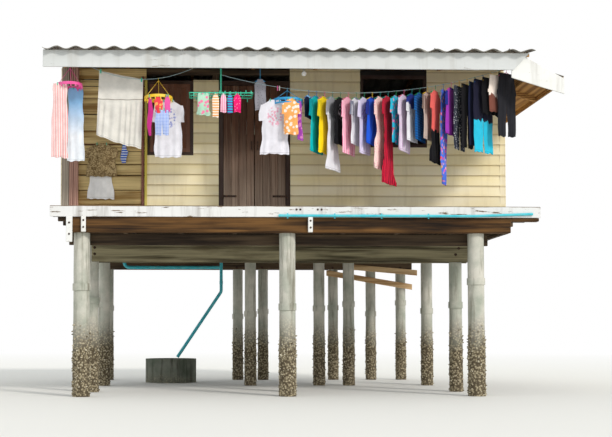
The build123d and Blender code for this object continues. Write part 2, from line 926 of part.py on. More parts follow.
def make_porch_post():
    left = deck_left_x + porch_post_inset
    y0, y1 = wall_y - porch_post_depth, wall_y
    bottom = purlin_height + rafter_height
    outline = [(y0, deck_top), (y1, deck_top), (y1, sheet_z(y1) - bottom), (y0, sheet_z(y0) - bottom)]
    save("porch_post", prism_x(outline, left, left + porch_post_width))


def make_lamp():
    """A lamp holder and its bulb under the second purlin of the porch."""
    x, y = place(lamp_x), purlin_positions()[1] + purlin_width / 2
    top = sheet_z(y - purlin_width / 2) - purlin_height
    lamp = rod((x, y, top - lamp_base_height), (x, y, top), lamp_base_radius)
    lamp += rod((x, y, top - lamp_stem_height), (x, y, top), lamp_stem_radius)
    lamp += Pos(x, y, top - lamp_stem_height - lamp_bulb_radius / 2) * Sphere(lamp_bulb_radius)
    save("porch_lamp", lamp)


def swept_pipe(points, bend, diameter):
    """A solid pipe along straight runs with one bend radius."""
    path = FilletPolyline(*points, radius=bend)
    start = path.line if hasattr(path, "line") else path
    section = Plane(start @ 0, z_dir=start % 0) * Circle(diameter / 2)
    return sweep(section, path=start)


def make_water_pipe():
    """A supply pipe clipped along the lower edge of the deck board."""
    radius = water_pipe_diameter / 2
    y = front_y - radius
    z = joist_top + radius
    left, bend = place(water_pipe_left_x), deck_right_x - water_pipe_bend_inset
    right = deck_right_x - water_pipe_right_inset
    points = [(left, y, z), (bend, y, z), (right, y, z + water_pipe_rise)]
    save("water_pipe", swept_pipe(points, 3 * water_pipe_diameter, water_pipe_diameter))


def drain_y():
    """The drain stands against the back face of the third bearer from the back."""
    return bearer_positions()[-3] + bearer_width + drain_diameter / 2


def make_drain():
    """Waste pipes from two floor drains that run down to the concrete ring."""
    y = drain_y()
    left = joist_positions()[1] - drain_joist_gap
    right = joist_positions()[3] - joist_width / 2 - drain_diameter
    end = (place(ring_x) + drain_end_offset, y, drain_end_z)
    main = swept_pipe(
        [(right, y, bearer_top), (right, y, drain_bend_z), end], drain_bend_radius, drain_diameter
    )
    branch = swept_pipe(
        [(left, y, bearer_top), (left, y, drain_z), (right, y, drain_z)], drain_bend_radius, drain_diameter
    )
    save("drain_pipe", main + branch)


def make_ring():
    x, y = place(ring_x), drain_y()
    outer = Pos(x, y, ring_height / 2) * Cylinder(ring_diameter / 2, ring_height)
    inner = Pos(x, y, ring_height / 2) * Cylinder(ring_diameter / 2 - ring_wall, ring_height)
    save("tank_ring", outer - inner)


def sloping_plank(ends, face):
    """A plank on edge between two points (inset, z, inset, z), with its back on the plane y = face."""
    x0, z0, x1, z1 = deck_right_x - ends[0], ends[1], deck_right_x - ends[2], ends[3]
    half = brace_height / 2
    outline = [(x0, z0 - half), (x1, z1 - half), (x1, z1 + half), (x0, z0 + half)]
    return prism_y(outline, face - brace_thickness, face)


def make_braces():
    """Two planks on the back row: the upper one is nailed to the beam, the lower one to the stilts."""
    beam_face = beam_faces(back_row_y, stilt_diameter)[0] - beam_thickness
    stilt_face = back_row_y - stilt_diameter / 2
    save("back_braces", sloping_plank(upper_brace, beam_face), sloping_plank(lower_brace, stilt_face))


def rail_bottom():
    """Height of the underside of the hanging rail."""
    return sheet_z(line_y - rail_size / 2) - purlin_height - rafter_height - rail_size


def make_rail():
    """A batten under the first five rafters of the porch, which carries the laundry."""
    y0, y1 = line_y - rail_size / 2, line_y + rail_size / 2
    drop = purlin_height + rafter_height
    outline = [(y0, rail_bottom()), (y1, rail_bottom()), (y1, sheet_z(y1) - drop), (y0, sheet_z(y0) - drop)]
    rafters = rafter_positions()
    save("laundry_rail", prism_x(outline, rafters[0], rafters[4] + rafter_width))


def main_line():
    """The long line, from the rack's stem through its lowest point to the last rafter."""
    start = (off(rack_offset) + rack_stem_diameter / 2, line_y, main_line_start_z)
    low = (off(main_line_low_offset), line_y, main_line_low_z)
    return ThreePointArc(start, low, (rafter_positions()[-1], line_y, main_line_end_z))


def side_line():
    """The short line at the left, with both ends under the rail."""
    left, right = off(side_line_offset), off(side_line_offset + side_line_span)
    low = ((left + right) / 2, line_y, rail_bottom() - side_line_sag)
    return ThreePointArc((left, line_y, rail_bottom()), low, (right, line_y, rail_bottom()))


def line_z(line, x):
    """Height of a hanging line at x."""
    centre = line.arc_center
    return centre.Z - math.sqrt(line.radius**2 - (x - centre.X) ** 2)


def make_lines():
    for name, path in (("clothesline_main", main_line()), ("clothesline_side", side_line())):
        save(name, sweep(Plane(path @ 0, z_dir=path % 0) * Circle(line_diameter / 2), path=path))


def make_pole():
    """A pole against the front wall, and the low line from it to the porch post."""
    x, y = off(pole_offset), wall_y - pole_diameter / 2
    pole = rod((x, y, deck_top), (x, y, pole_top_z), pole_diameter / 2)
    post_side = off(porch_post_inset + porch_post_width)
    save("line_pole", pole + rod((post_side, y, low_line_z), (x, y, low_line_z), line_diameter / 2))


def hoop_hanger(hoop, top):
    """A round clip hanger: a flat hoop on three struts, which meet under a hook that reaches up to top."""
    x, z, radius = off(hoop[0]), hoop[1], hoop[2]
    middle = Pos(x, line_y, z + hoop_height / 2)
    hanger = middle * Cylinder(radius, hoop_height) - middle * Cylinder(radius - hoop_band, hoop_height)
    apex = top - hoop_hook
    for turn in (90, 210, 330):
        angle = math.radians(turn)
        reach = radius - hoop_band / 2
        foot = (x + reach * math.cos(angle), line_y + reach * math.sin(angle), z + hoop_height / 2)
        hanger += rod(foot, (x, line_y, apex), strut_diameter / 2)
    return hanger + rod((x, line_y, apex - strut_diameter), (x, line_y, top), strut_diameter / 2)


def make_hangers():
    """A rectangular rack on its stem, and three round clip hangers."""
    x = off(rack_offset)
    middle = Pos(x, line_y, rack_z)
    rack = middle * Box(rack_width, rack_depth, rack_bar)
    rack -= middle * Box(rack_width - 2 * rack_bar, rack_depth - 2 * rack_bar, rack_bar)
    rack += middle * Box(rack_width, rack_bar, rack_bar)
    rack += middle * Box(rack_bar, rack_depth, rack_bar)
    rack += rod((x, line_y, rack_z), (x, line_y, rail_bottom()), rack_stem_diameter / 2)
    pink = hoop_hanger(pink_hoop, rail_bottom())
    yellow = hoop_hanger(yellow_hoop, line_z(side_line(), off(yellow_hoop[0])))
    blue = hoop_hanger(blue_hoop, line_z(main_line(), off(blue_hoop[0])))
    save("laundry_hangers", rack, pink, yellow, blue)


def garment(kind, x, top, turn):
    """A plain solid for one piece of clothing on the main line, turned from edge-on by an angle."""
    width, length, hem = kinds[kind]
    half_hook = hook_width / 2
    shoulder, foot = -hook_drop - shoulder_drop, -hook_drop - length
    right = [(half_hook, 0), (half_hook, -hook_drop), (width / 2, shoulder), (hem / 2, foot)]
    outline = right + [(-x, z) for x, z in reversed(right)]
    solid = prism_y(outline, -cloth_thickness / 2, cloth_thickness / 2)
    return Pos(x, line_y, top) * Rot(0, 0, 90 - turn) * solid


def make_line_clothes():
    left, right = off(clothes_start_offset), rafter_positions()[-1] - clothes_end_gap
    step = (right - left) / (len(line_clothes) - 1)
    line = main_line()
    first_turned = len(line_clothes) - 1 - more_turn_count
    clothes = []
    for i, kind in enumerate(line_clothes):
        x = left + i * step
        turn = clothes_turn + more_turn_step * max(0, i - first_turned)
        clothes.append(garment(kind, x, line_z(line, x), turn))
    save("laundry_on_line", *clothes)


def plate(x0, x1, z0, z1, y):
    """A thin upright solid for cloth that faces the front, with its front face at y."""
    return block((x0, y, z0), (x1, y + thin_cloth_thickness, z1))


def hung_from_hoop(hoop, clothes):
    """The clothes clipped under a hoop."""
    radius = hoop[2] - hoop_band / 2
    plates = []
    for offset, width, length, side in clothes:
        x = off(hoop[0]) + offset
        y = line_y + side * math.sqrt(radius**2 - offset**2) - thin_cloth_thickness / 2
        plates.append(plate(x - width / 2, x + width / 2, hoop[1] - length, hoop[1], y))
    return plates


def hung_from_rack():
    """The small pieces clipped under the front bar of the rack."""
    y = line_y - (rack_depth - rack_bar + thin_cloth_thickness) / 2
    top = rack_z - rack_bar / 2
    plates = []
    for offset, width, length in rack_clothes:
        x = off(rack_offset) + offset
        plates.append(plate(x - width / 2, x + width / 2, top - length, top, y))
    return plates


def make_front_clothes():
    """The clothes that face the front, at the left and over the door."""
    clothes = hung_from_hoop(pink_hoop, pink_hoop_clothes)
    clothes += hung_from_hoop(yellow_hoop, yellow_hoop_clothes)
    clothes += hung_from_hoop(blue_hoop, blue_hoop_clothes)
    clothes += hung_from_rack()
    behind = line_y + line_diameter / 2
    left, right = [off(x) for x in side_cloth_top]
    foot_left, foot_left_z, foot_right, foot_right_z = side_cloth_foot
    line = side_line()
    outline = [(left, line_z(line, left)), (right, line_z(line, right))]
    outline += [(off(foot_right), foot_right_z), (off(foot_left), foot_left_z)]
    clothes.append(prism_y(outline, behind, behind + thin_cloth_thickness))
    x0, x1, z0, z1 = grey_top
    hook_x = off((x0 + x1 - hook_width) / 2)
    grey = plate(off(x0), off(x1), z0, z1, behind)
    clothes.append(grey + plate(hook_x, hook_x + hook_width, z1, rail_bottom(), behind))
    behind = wall_y - pole_diameter / 2 + line_diameter / 2
    clothes += [plate(off(x0), off(x1), z0, z1, behind) for x0, x1, z0, z1 in low_line_clothes]
    save("laundry_facing_front", *clothes)


def main():
    os.makedirs("parts", exist_ok=True)
    make_stilts()
    make_beams()
    make_floor()
    make_front_wall()
    make_other_walls()
    make_frame()
    make_windows()
    make_door()
    make_rafters()
    make_purlins()
    make_roof_sheets()
    make_fascia()
    make_side_roof()
    make_porch_post()
    make_lamp()
    make_water_pipe()
    make_drain()
    make_ring()
    make_braces()
    make_rail()
    make_lines()
    make_pole()
    make_hangers()
    make_line_clothes()
    make_front_clothes()


main()
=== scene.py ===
import math
import random

import bmesh
import bpy
from mathutils import Matrix, Vector, noise


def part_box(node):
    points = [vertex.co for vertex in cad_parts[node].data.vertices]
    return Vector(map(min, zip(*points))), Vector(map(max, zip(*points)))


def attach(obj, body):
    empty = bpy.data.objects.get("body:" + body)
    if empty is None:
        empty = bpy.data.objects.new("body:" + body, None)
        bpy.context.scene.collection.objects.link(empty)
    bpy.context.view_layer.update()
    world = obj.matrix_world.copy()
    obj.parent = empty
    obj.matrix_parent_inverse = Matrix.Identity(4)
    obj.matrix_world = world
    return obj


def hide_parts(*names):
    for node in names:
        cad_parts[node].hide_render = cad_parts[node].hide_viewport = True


# Stilt house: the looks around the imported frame. Lengths are metres, X runs to the right along the
# front, Y runs into the house, and Z is up from the water line.

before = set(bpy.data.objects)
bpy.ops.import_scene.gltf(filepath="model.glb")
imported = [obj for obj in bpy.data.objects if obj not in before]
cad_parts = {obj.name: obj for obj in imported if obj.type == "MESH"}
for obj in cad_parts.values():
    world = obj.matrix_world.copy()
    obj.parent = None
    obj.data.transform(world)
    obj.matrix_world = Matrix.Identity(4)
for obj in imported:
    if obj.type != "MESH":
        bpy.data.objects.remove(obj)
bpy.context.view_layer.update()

# Noise vectors start from a seed of their own, so that every run gives the same shapes
noise.seed_set(1)

HOUSE = "house"
DOORS = {"left": "door_left", "right": "door_right"}
TURN = 2 * math.pi

# Vertices nearer than this are one, and edges that turn by more than this, in radians, are eased
MERGE = 1e-5
SHARP = 0.5


def linear(shade):
    """Three screen values from 0 to 255 as the linear colour of a shader. Anything else stays as it is."""
    if not isinstance(shade, tuple) or len(shade) != 3:
        return shade
    values = [v / 255 for v in shade]
    return (*[v / 12.92 if v <= 0.04045 else ((v + 0.055) / 1.055) ** 2.4 for v in values], 1.0)


def dimmed(shade, share):
    return (*[v * share for v in linear(shade)[:3]], 1.0)


class Finish:
    """A node material, with one short call for each kind of node that the finishes share."""

    def __init__(self, name, roughness=0.75, gloss=0.22):
        self.material = bpy.data.materials.new(name)
        self.material.use_nodes = True
        self.tree = self.material.node_tree
        self.shader = self.tree.nodes["Principled BSDF"]
        self.connect(self.shader, {"Roughness": roughness, "Specular IOR Level": gloss})
        self.place = self.node("TexCoord", {}, "Object")

    def connect(self, node, inputs):
        """Sets a node's sockets to values, or links them to other sockets."""
        for socket, value in inputs.items():
            if isinstance(value, bpy.types.NodeSocket):
                self.tree.links.new(value, node.inputs[socket])
            else:
                node.inputs[socket].default_value = value

    def node(self, kind, inputs, output=0, **settings):
        """One output of a new node."""
        node = self.tree.nodes.new("ShaderNode" + kind)
        for name, value in settings.items():
            setattr(node, name, value)
        self.connect(node, inputs)
        return node.outputs[output]

    def attribute(self, name, output="Fac"):
        return self.node("Attribute", {}, output, attribute_name=name)

    def stretched(self, place, scale):
        return self.node("Mapping", {"Vector": place, "Scale": scale}, "Vector")

    def part(self, place, axis):
        return self.node("SeparateXYZ", {0: place}, axis)

    def noise(self, place, scale, detail=4.0, roughness=0.55, distortion=0.0):
        inputs = {"Vector": place, "Scale": scale, "Detail": detail, "Roughness": roughness}
        return self.node("TexNoise", {**inputs, "Distortion": distortion}, "Fac")

    def grain(self, place, stretch, detail=4.0, roughness=0.55):
        """Noise that is drawn out along some axes."""
        return self.noise(self.stretched(place, stretch), 1.0, detail, roughness)

    def cells(self, place, scale, output="Distance"):
        return self.node("TexVoronoi", {"Vector": place, "Scale": scale}, output)

    def waves(self, place, scale, distortion=0.0, direction="X"):
        inputs = {"Vector": place, "Scale": scale, "Distortion": distortion}
        return self.node("TexWave", inputs, "Fac", bands_direction=direction)

    def ramp(self, value, *stops):
        """A colour ramp with stops of (position, colour)."""
        node = self.tree.nodes.new("ShaderNodeValToRGB")
        elements = node.color_ramp.elements
        for element, (position, shade) in zip(elements, (stops[0], stops[-1])):
            element.position, element.color = position, linear(shade)
        for position, shade in stops[1:-1]:
            elements.new(position).color = linear(shade)
        self.connect(node, {"Fac": value})
        return node.outputs["Color"]

    def mask(self, value, low, high, most=1.0, least=0.0):
        """least below low, most above high, and a straight rise between them."""
        inputs = {"Value": value, "From Min": low, "From Max": high, "To Min": least, "To Max": most}
        return self.node("MapRange", inputs, "Result", clamp=True)

    def mix(self, share, first, second, mode="MIX"):
        inputs = {"Factor": share, 6: linear(first), 7: linear(second)}
        return self.node("Mix", inputs, 2, data_type="RGBA", blend_type=mode)

    def greyed(self, shade, value, low, high, start=0.0, end=1.0):
        """A colour times a grey that goes from low to high while a value goes from start to end."""
        return self.mix(1.0, shade, self.mask(value, start, end, high, low), "MULTIPLY")

    def maths(self, operation, first, second=0.0):
        return self.node("Math", {0: first, 1: second}, 0, operation=operation)

    def plus(self, value, other, share):
        """A value and a share of another one."""
        return self.maths("ADD", value, self.maths("MULTIPLY", other, share))

    def bump(self, value, distance):
        normal = self.node("Bump", {"Distance": distance, "Height": value}, "Normal")
        self.connect(self.shader, {"Normal": normal})

    def paint(self, value):
        self.connect(self.shader, {"Base Color": linear(value)})

    def rough(self, value):
        self.connect(self.shader, {"Roughness": value})


def along_grain(vert, axis):
    return Vector([vert[(axis + i) % 3] for i in range(3)])


def around(x, y, z, radius, count, start=0.0):
    """Points round a level circle."""
    turns = [start + TURN * k / count for k in range(count)]
    return [Vector((x + radius * math.cos(t), y + radius * math.sin(t), z)) for t in turns]


class Pile:
    """Collects many small solids into one mesh. Each solid has a tone and a grain direction of its own."""

    def __init__(self, seed):
        self.verts, self.faces, self.flow, self.tone = [], [], [], []
        self.dice = random.Random(seed)

    def somewhere(self, reach):
        return Vector([self.dice.uniform(0, reach) for _ in range(3)])

    def add(self, verts, faces, axis=0):
        """Adds one solid, whose grain runs along the given axis."""
        start, tone = len(self.verts), self.dice.random()
        shift = self.somewhere(20)
        self.verts += [Vector(vert) for vert in verts]
        self.flow += [along_grain(vert, axis) + shift for vert in verts]
        self.tone += [tone] * len(verts)
        self.faces += [[start + i for i in face] for face in faces]

    def loft(self, rings, axis=0):
        """Adds a skin over rings that have as many points each, with flat ends."""
        count = len(rings[0])
        last = (len(rings) - 1) * count
        faces = []
        for a in range(0, last, count):
            for i in range(count):
                j = (i + 1) % count
                faces.append((a + i, a + j, a + count + j, a + count + i))
        faces.append(tuple(range(count - 1, -1, -1)))
        faces.append(tuple(last + i for i in range(count)))
        self.add([p for ring in rings for p in ring], faces, axis)

    def slab(self, columns, front, back, axis=0):
        """Adds a thin sheet between two grids of points, with closed edges."""
        side, count = columns + 1, len(front)
        faces = []
        for a in range(count - side):
            if a % side < columns:
                faces.append((a, a + 1, a + 1 + side, a + side))
                faces.append((count + a, count + a + side, count + a + 1 + side, count + a + 1))
        for a in range(columns):
            faces.append((a, count + a, count + a + 1, a + 1))
            a += count - side
            faces.append((a, a + 1, count + a + 1, count + a))
        for a in range(0, count - side, side):
            faces.append((a, a + side, count + a + side, count + a))
            a += columns
            faces.append((a, count + a, count + a + side, a + side))
        self.add(front + back, faces, axis)

    def plank(self, low, high, axis, chamfer=0.003, step=0.5, wander=0.0015):
        """Adds a board with eased edges between two corners, a little wavy along its length."""
        low, high = Vector(low), Vector(high)
        a, b = (axis + 1) % 3, (axis + 2) % 3
        c = min(chamfer, (high[a] - low[a]) / 3, (high[b] - low[b]) / 3)
        section = [
            (low[a] + c, low[b]), (high[a] - c, low[b]), (high[a], low[b] + c), (high[a], high[b] - c),
            (high[a] - c, high[b]), (low[a] + c, high[b]), (low[a], high[b] - c), (low[a], low[b] + c),
        ]
        count = max(1, round((high[axis] - low[axis]) / step))
        seed = self.somewhere(50)
        rings = []
        for k in range(count + 1):
            along = low[axis] + (high[axis] - low[axis]) * k / count
            drift = noise.noise_vector(seed + Vector((along * 1.7, 0, 0))) * wander
            ring = [Vector() for _ in section]
            for point, (p, q) in zip(ring, section):
                point[axis], point[a], point[b] = along, p + drift[0], q + drift[1]
            rings.append(ring)
        self.loft(rings, axis)

    def clip(self, spot, half_x, half_y, below, above, chamfer=0.002):
        """Adds a small upright block around a spot."""
        self.plank(spot - Vector((half_x, half_y, below)), spot + Vector((half_x, half_y, above)), 2, chamfer)

    def tube(self, points, radius, sides=10):
        """Adds a round bar along a list of points, with one radius or one for each point."""
        points = [Vector(p) for p in points]
        side = Vector((0.31, 0.52, 0.79))
        rings = []
        for i, point in enumerate(points):
            ahead = points[min(i + 1, len(points) - 1)] - points[max(i - 1, 0)]
            ahead.normalize()
            side = (side - ahead * side.dot(ahead)).normalized()
            other = ahead.cross(side)
            width = radius[i] if isinstance(radius, list) else radius
            turns = [TURN * k / sides for k in range(sides)]
            rings.append([point + (side * math.cos(t) + other * math.sin(t)) * width for t in turns])
        self.loft(rings, 2)

    def carry(self, start, stand):
        """Moves the points from start on with a matrix."""
        self.verts[start:] = [stand @ vert for vert in self.verts[start:]]

    def object(self, name, finish, slot, replaces=(), smooth=0, body=HOUSE):
        mesh = bpy.data.meshes.new(name)
        mesh.from_pydata([tuple(v) for v in self.verts], [], self.faces)
        flow = mesh.attributes.new("flow", "FLOAT_VECTOR", "POINT")
        flow.data.foreach_set("vector", [x for v in self.flow for x in v])
        tone = mesh.attributes.new("tone", "FLOAT", "POINT")
        tone.data.foreach_set("value", self.tone)
        return settle(name, mesh, finish, slot, replaces, smooth, body)


def settle(name, mesh, finish, slot, replaces, smooth=0, body=HOUSE):
    """Turns a mesh into a piece that rides on a body. smooth is the sharpest soft edge, in degrees."""
    mesh.validate()
    bm = bmesh.new()
    bm.from_mesh(mesh)
    bmesh.ops.recalc_face_normals(bm, faces=bm.faces)
    bm.to_mesh(mesh)
    bm.free()
    piece = bpy.data.objects.new(name, mesh)
    bpy.context.scene.collection.objects.link(piece)
    mesh.materials.append(finish.material)
    if smooth:
        mesh.shade_smooth()
        mesh.set_sharp_from_angle(angle=math.radians(smooth))
    else:
        mesh.shade_flat()
    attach(piece, body)
    if replaces:
        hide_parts(*replaces)
    return piece


def joined(bm):
    """Groups of vertices that edges join."""
    groups, seen = [], set()
    for first in bm.verts:
        if first in seen:
            continue
        seen.add(first)
        group, queue = [], [first]
        while queue:
            vert = queue.pop()
            group.append(vert)
            near = [edge.other_vert(vert) for edge in vert.link_edges]
            fresh = [other for other in near if other not in seen]
            seen.update(fresh)
            queue += fresh
        groups.append(group)
    return groups


def extent(verts):
    """The low and high corner of some vertices."""
    places = [v.co for v in verts]
    return [Vector([pick(p[i] for p in places) for i in range(3)]) for pick in (min, max)]


def longest(low, high):
    return max(range(3), key=lambda i: (high - low)[i])


def merged(node):
    """A CAD node's mesh as a bmesh, with its corners joined."""
    bm = bmesh.new()
    bm.from_mesh(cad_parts[node].data)
    bmesh.ops.remove_doubles(bm, verts=bm.verts, dist=MERGE)
    return bm


def solids(node):
    """The low and high corner of each loose solid of a CAD node, from left to right."""
    bm = merged(node)
    boxes = [extent(group) for group in joined(bm)]
    bm.free()
    return sorted(boxes, key=lambda box: tuple(box[0]))


def by_middle(node):
    """The same corners, from left to right by the solids' middles."""
    return sorted(solids(node), key=lambda box: box[0].x + box[1].x)


def corners(node):
    return [Vector(corner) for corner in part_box(node)]


CUT_STEP = 0.35
WAVES_PER_METRE = 1.9


def dress(node, finish, slot, seed, chamfer=0.004, wander=0.003):
    """A timber copy of a CAD node, with eased edges, wavy faces and a grain of its own in each piece."""
    dice = random.Random(seed)
    bm = merged(node)
    bmesh.ops.dissolve_limit(bm, angle_limit=0.02, verts=bm.verts, edges=bm.edges)
    for group in joined(bm):
        low, high = extent(group)
        axis = longest(low, high)
        normal = Vector([float(i == axis) for i in range(3)])
        geometry = group + list(dict.fromkeys(e for v in group for e in v.link_edges))
        geometry += list(dict.fromkeys(f for v in group for f in v.link_faces))
        count = int((high[axis] - low[axis]) / CUT_STEP)
        for k in range(1, count):
            centre = low + normal * (high[axis] - low[axis]) * k / count
            geometry = bmesh.ops.bisect_plane(bm, geom=geometry, plane_co=centre, plane_no=normal)["geom"]
    sharp = [e for e in bm.edges if len(e.link_faces) == 2 and e.calc_face_angle() > SHARP]
    bmesh.ops.bevel(bm, geom=sharp, offset=chamfer, segments=1, profile=0.5, affect="EDGES")
    bm.verts.layers.float_vector.new("flow")
    bm.verts.layers.float.new("tone")
    flow, tone = bm.verts.layers.float_vector["flow"], bm.verts.layers.float["tone"]
    for group in joined(bm):
        axis = longest(*extent(group))
        shift = Vector([dice.uniform(0, 20) for _ in range(3)])
        shade = dice.random()
        for vert in group:
            vert[flow] = along_grain(vert.co, axis) + shift
            vert[tone] = shade
            vert.co += noise.noise_vector(vert.co * WAVES_PER_METRE + shift) * wander
    name = node + "_timber"
    mesh = bpy.data.meshes.new(name)
    bm.to_mesh(mesh)
    bm.free()
    settle(name, mesh, finish, slot, (node,))


# Finishes. Colours are screen values, with the pale or fresh one first.

# The lap boards start at this height and follow each other at this pitch
LAP_BASE = 2.5
LAP_PITCH = 0.15


def bare_timber(name, pale, dark, roughness=0.82, patch=0.35, relief=0.0015):
    """Unpainted timber, with grain along each piece, a tone of its own and weathered patches."""
    finish = Finish(name, roughness)
    flow, tone = finish.attribute("flow", "Vector"), finish.attribute("tone")
    fibres = finish.grain(flow, (1.5, 45, 45), 6, 0.65)
    rings = finish.waves(finish.stretched(flow, (0.5, 9, 9)), 1.2, 5.0, "Y")
    shade = finish.ramp(finish.mix(0.35, fibres, rings), (0.28, dark), (0.72, pale))
    toned = finish.greyed(shade, tone, 0.72, 1.12)
    blotch = finish.mask(finish.grain(flow, (1.17, 3.9, 3.9), 5), 0.5, 0.68, patch)
    finish.paint(finish.mix(blotch, toned, finish.mix(1.0, toned, (0.5, 0.46, 0.42, 1), "MULTIPLY")))
    finish.bump(fibres, relief)
    return finish


def worn_paint(name, paint, under, dirt_and_lap_shade, fading=0.3, wear=0.66, grime=0.5, lap_shadow=0.0, bare_above=None):
    """Old paint on boards: faded, streaked by rain, worn through to the wood in places, and, if asked, with a
    painted shadow under each lap.
    """
    finish = Finish(name)
    flow, tone = finish.attribute("flow", "Vector"), finish.attribute("tone")
    fibres = finish.grain(flow, (1.2, 40, 40), 6, 0.6)
    faded = finish.mask(finish.grain(flow, (0.9, 3.75, 3.75)), 0.35, 0.7)
    coat = finish.mix(faded, paint, finish.mix(fading, paint, (255, 255, 255)))
    coat = finish.greyed(coat, tone, 0.9, 1.03)
    streaks = finish.mask(finish.grain(finish.place, (7, 7, 0.7), 5, 0.6), 0.5, 0.75, grime)
    coat = finish.mix(streaks, coat, dirt_and_lap_shade)
    height = finish.part(finish.place, "Z")
    # Painted shadow: the top of each lap row, just under the butt of the board above, is darkened towards the
    # dirt colour.
    if lap_shadow:
        rise = finish.maths("DIVIDE", finish.maths("SUBTRACT", height, LAP_BASE), LAP_PITCH)
        coat = finish.mix(finish.mask(finish.maths("FRACT", rise), 0.78, 1.0, lap_shadow), coat, dirt_and_lap_shade)
    wood = finish.ramp(fibres, (0.3, dimmed(under, 0.45)), (0.7, under))
    worn = finish.grain(flow, (2.2, 17, 17), 7, 0.7)
    share = finish.mask(worn, wear, wear + 0.03)
    if bare_above:
        ragged = finish.mask(finish.plus(height, worn, 0.03), bare_above, bare_above + 0.004)
        share = finish.maths("MAXIMUM", share, ragged)
    finish.paint(finish.mix(share, coat, wood))
    finish.rough(finish.mask(worn, wear - 0.9, wear + 0.3))
    finish.bump(finish.mix(0.5, fibres, worn), 0.0009)
    return finish


def door_finish():
    """Dark brown door paint that has gone grey and thin towards the deck."""
    finish = Finish("door_paint", 0.68)
    flow, tone = finish.attribute("flow", "Vector"), finish.attribute("tone")
    fibres = finish.grain(flow, (1.0, 55, 55), 6, 0.65)
    broad = finish.grain(flow, (0.5, 9, 9), 5, 0.6)
    coat = finish.ramp(fibres, (0.3, (66, 41, 31)), (0.7, (112, 76, 56)))
    coat = finish.greyed(coat, tone, 0.75, 1.15)
    bare = finish.ramp(fibres, (0.3, (127, 106, 90)), (0.7, (192, 174, 155)))
    fall = finish.plus(finish.part(finish.place, "Z"), broad, 1.2)
    low = finish.mask(fall, DECK_TOP + 1.9, DECK_TOP + 0.6, 0.8)
    share = finish.maths("MAXIMUM", finish.mask(broad, 0.58, 0.72, 0.35), low)
    finish.paint(finish.mix(share, coat, bare))
    finish.bump(fibres, 0.0015)
    return finish


def inner_finish():
    """Bare boards as the room shows them from inside."""
    finish = Finish("inner_boards", 0.85)
    fibres = finish.grain(finish.place, (1.5, 1.5, 40), 6, 0.6)
    boards = finish.waves(finish.stretched(finish.place, (0, 0, 6.67 / 6.28)), 3.14, 0, "Z")
    shade = finish.ramp(fibres, (0.3, (66, 50, 36)), (0.7, (112, 88, 62)))
    finish.paint(finish.mix(finish.mask(boards, 0.03, 0.0), shade, (30, 22, 16)))
    finish.bump(fibres, 0.001)
    return finish


def concrete(name, pale, dark, tint, crust_top):
    """Cast concrete with rain runs and a green tinge, darker and rougher near the water."""
    finish = Finish(name, 0.88)
    grit = finish.noise(finish.place, 60, 4, 0.7)
    cloud = finish.noise(finish.place, 3.2, 5, 0.6)
    runs = finish.grain(finish.place, (14, 14, 1.1), 5, 0.65)
    shade = finish.mix(finish.mask(cloud, 0.35, 0.68), pale, tint)
    shade = finish.mix(finish.mask(runs, 0.5, 0.72), shade, dark)
    edge = finish.plus(finish.part(finish.place, "Z"), cloud, 0.5)
    low = finish.mask(edge, crust_top, crust_top - 0.5)
    crust = finish.cells(finish.place, 34)
    shells = finish.ramp(crust, (0.0, (196, 186, 160)), (0.33, (148, 136, 110)), (0.6, (84, 74, 58)))
    finish.paint(finish.mix(low, finish.mix(0.12, shade, grit, "OVERLAY"), shells))
    finish.bump(finish.mix(low, finish.mix(0.5, grit, runs), crust), 0.004)
    return finish


def shell_finish():
    finish = Finish("shells", 0.85)
    grit = finish.noise(finish.place, 120, 4, 0.7)
    stops = ((0.0, (100, 90, 70)), (0.5, (156, 144, 118)), (1.0, (206, 198, 176)))
    finish.paint(finish.mix(0.3, finish.ramp(finish.attribute("tone"), *stops), grit, "OVERLAY"))
    finish.bump(grit, 0.001)
    return finish


def sheet_cement(name, pale, dark):
    """Fibre cement that has weathered grey, with dark moss in the troughs."""
    finish = Finish(name, 0.9)
    grit = finish.noise(finish.place, 45, 5, 0.7)
    runs = finish.grain(finish.place, (9, 0.8, 3), 5, 0.7)
    shade = finish.ramp(finish.noise(finish.place, 1.6, 6, 0.65), (0.3, dark), (0.66, pale))
    shade = finish.mix(finish.mask(runs, 0.5, 0.75), shade, (78, 74, 66))
    shade = finish.mix(finish.mask(finish.cells(finish.place, 13), 0.17, 0.1, 0.5), shade, (196, 194, 180))
    finish.paint(finish.mix(0.25, shade, grit, "OVERLAY"))
    finish.bump(grit, 0.0015)
    return finish


def plain_plastic(name, shade, faded):
    """Moulded plastic that has faded unevenly, with dust in streaks."""
    finish = Finish(name, gloss=0.5)
    cloud = finish.noise(finish.place, 7, 5, 0.6)
    dust = finish.noise(finish.place, 38, 5, 0.7)
    tone = finish.mix(finish.mask(cloud, 0.35, 0.7), shade, faded)
    finish.paint(finish.mix(finish.mask(dust, 0.6, 0.75), tone, (150, 146, 130)))
    finish.rough(finish.mask(dust, -0.2, 1.1))
    finish.bump(dust, 0.0004)
    return finish


def rusty_iron():
    finish = Finish("rusty_iron", 0.6)
    rust = finish.noise(finish.place, 55, 6, 0.7)
    finish.paint(finish.ramp(rust, (0.35, (40, 36, 34)), (0.55, (74, 56, 46)), (0.75, (128, 76, 46))))
    finish.shader.inputs["Metallic"].default_value = 0.35
    finish.bump(rust, 0.0008)
    return finish


# Places that the looks share with the frame

deck_low, deck_high = corners("floor_boards")
bay_low, bay_high = corners("front_wall_plank_bay")
door_low, door_high = corners("door_frame")
side_low, side_high = corners("side_roof_sheets")
WALL_LEFT, WALL_Y = bay_low.x, bay_low.y
WALL_RIGHT, WALL_TOP = corners("front_wall_right_bay")[1].x, corners("front_wall_right_bay")[1].z
BACK_Y, BACK_TOP = corners("back_wall")[1].y, corners("back_wall")[1].z
DECK_TOP = deck_high.z
ROOF_SLOPE = math.radians(10.0)
SIDE_SLOPE = math.radians(17.0)
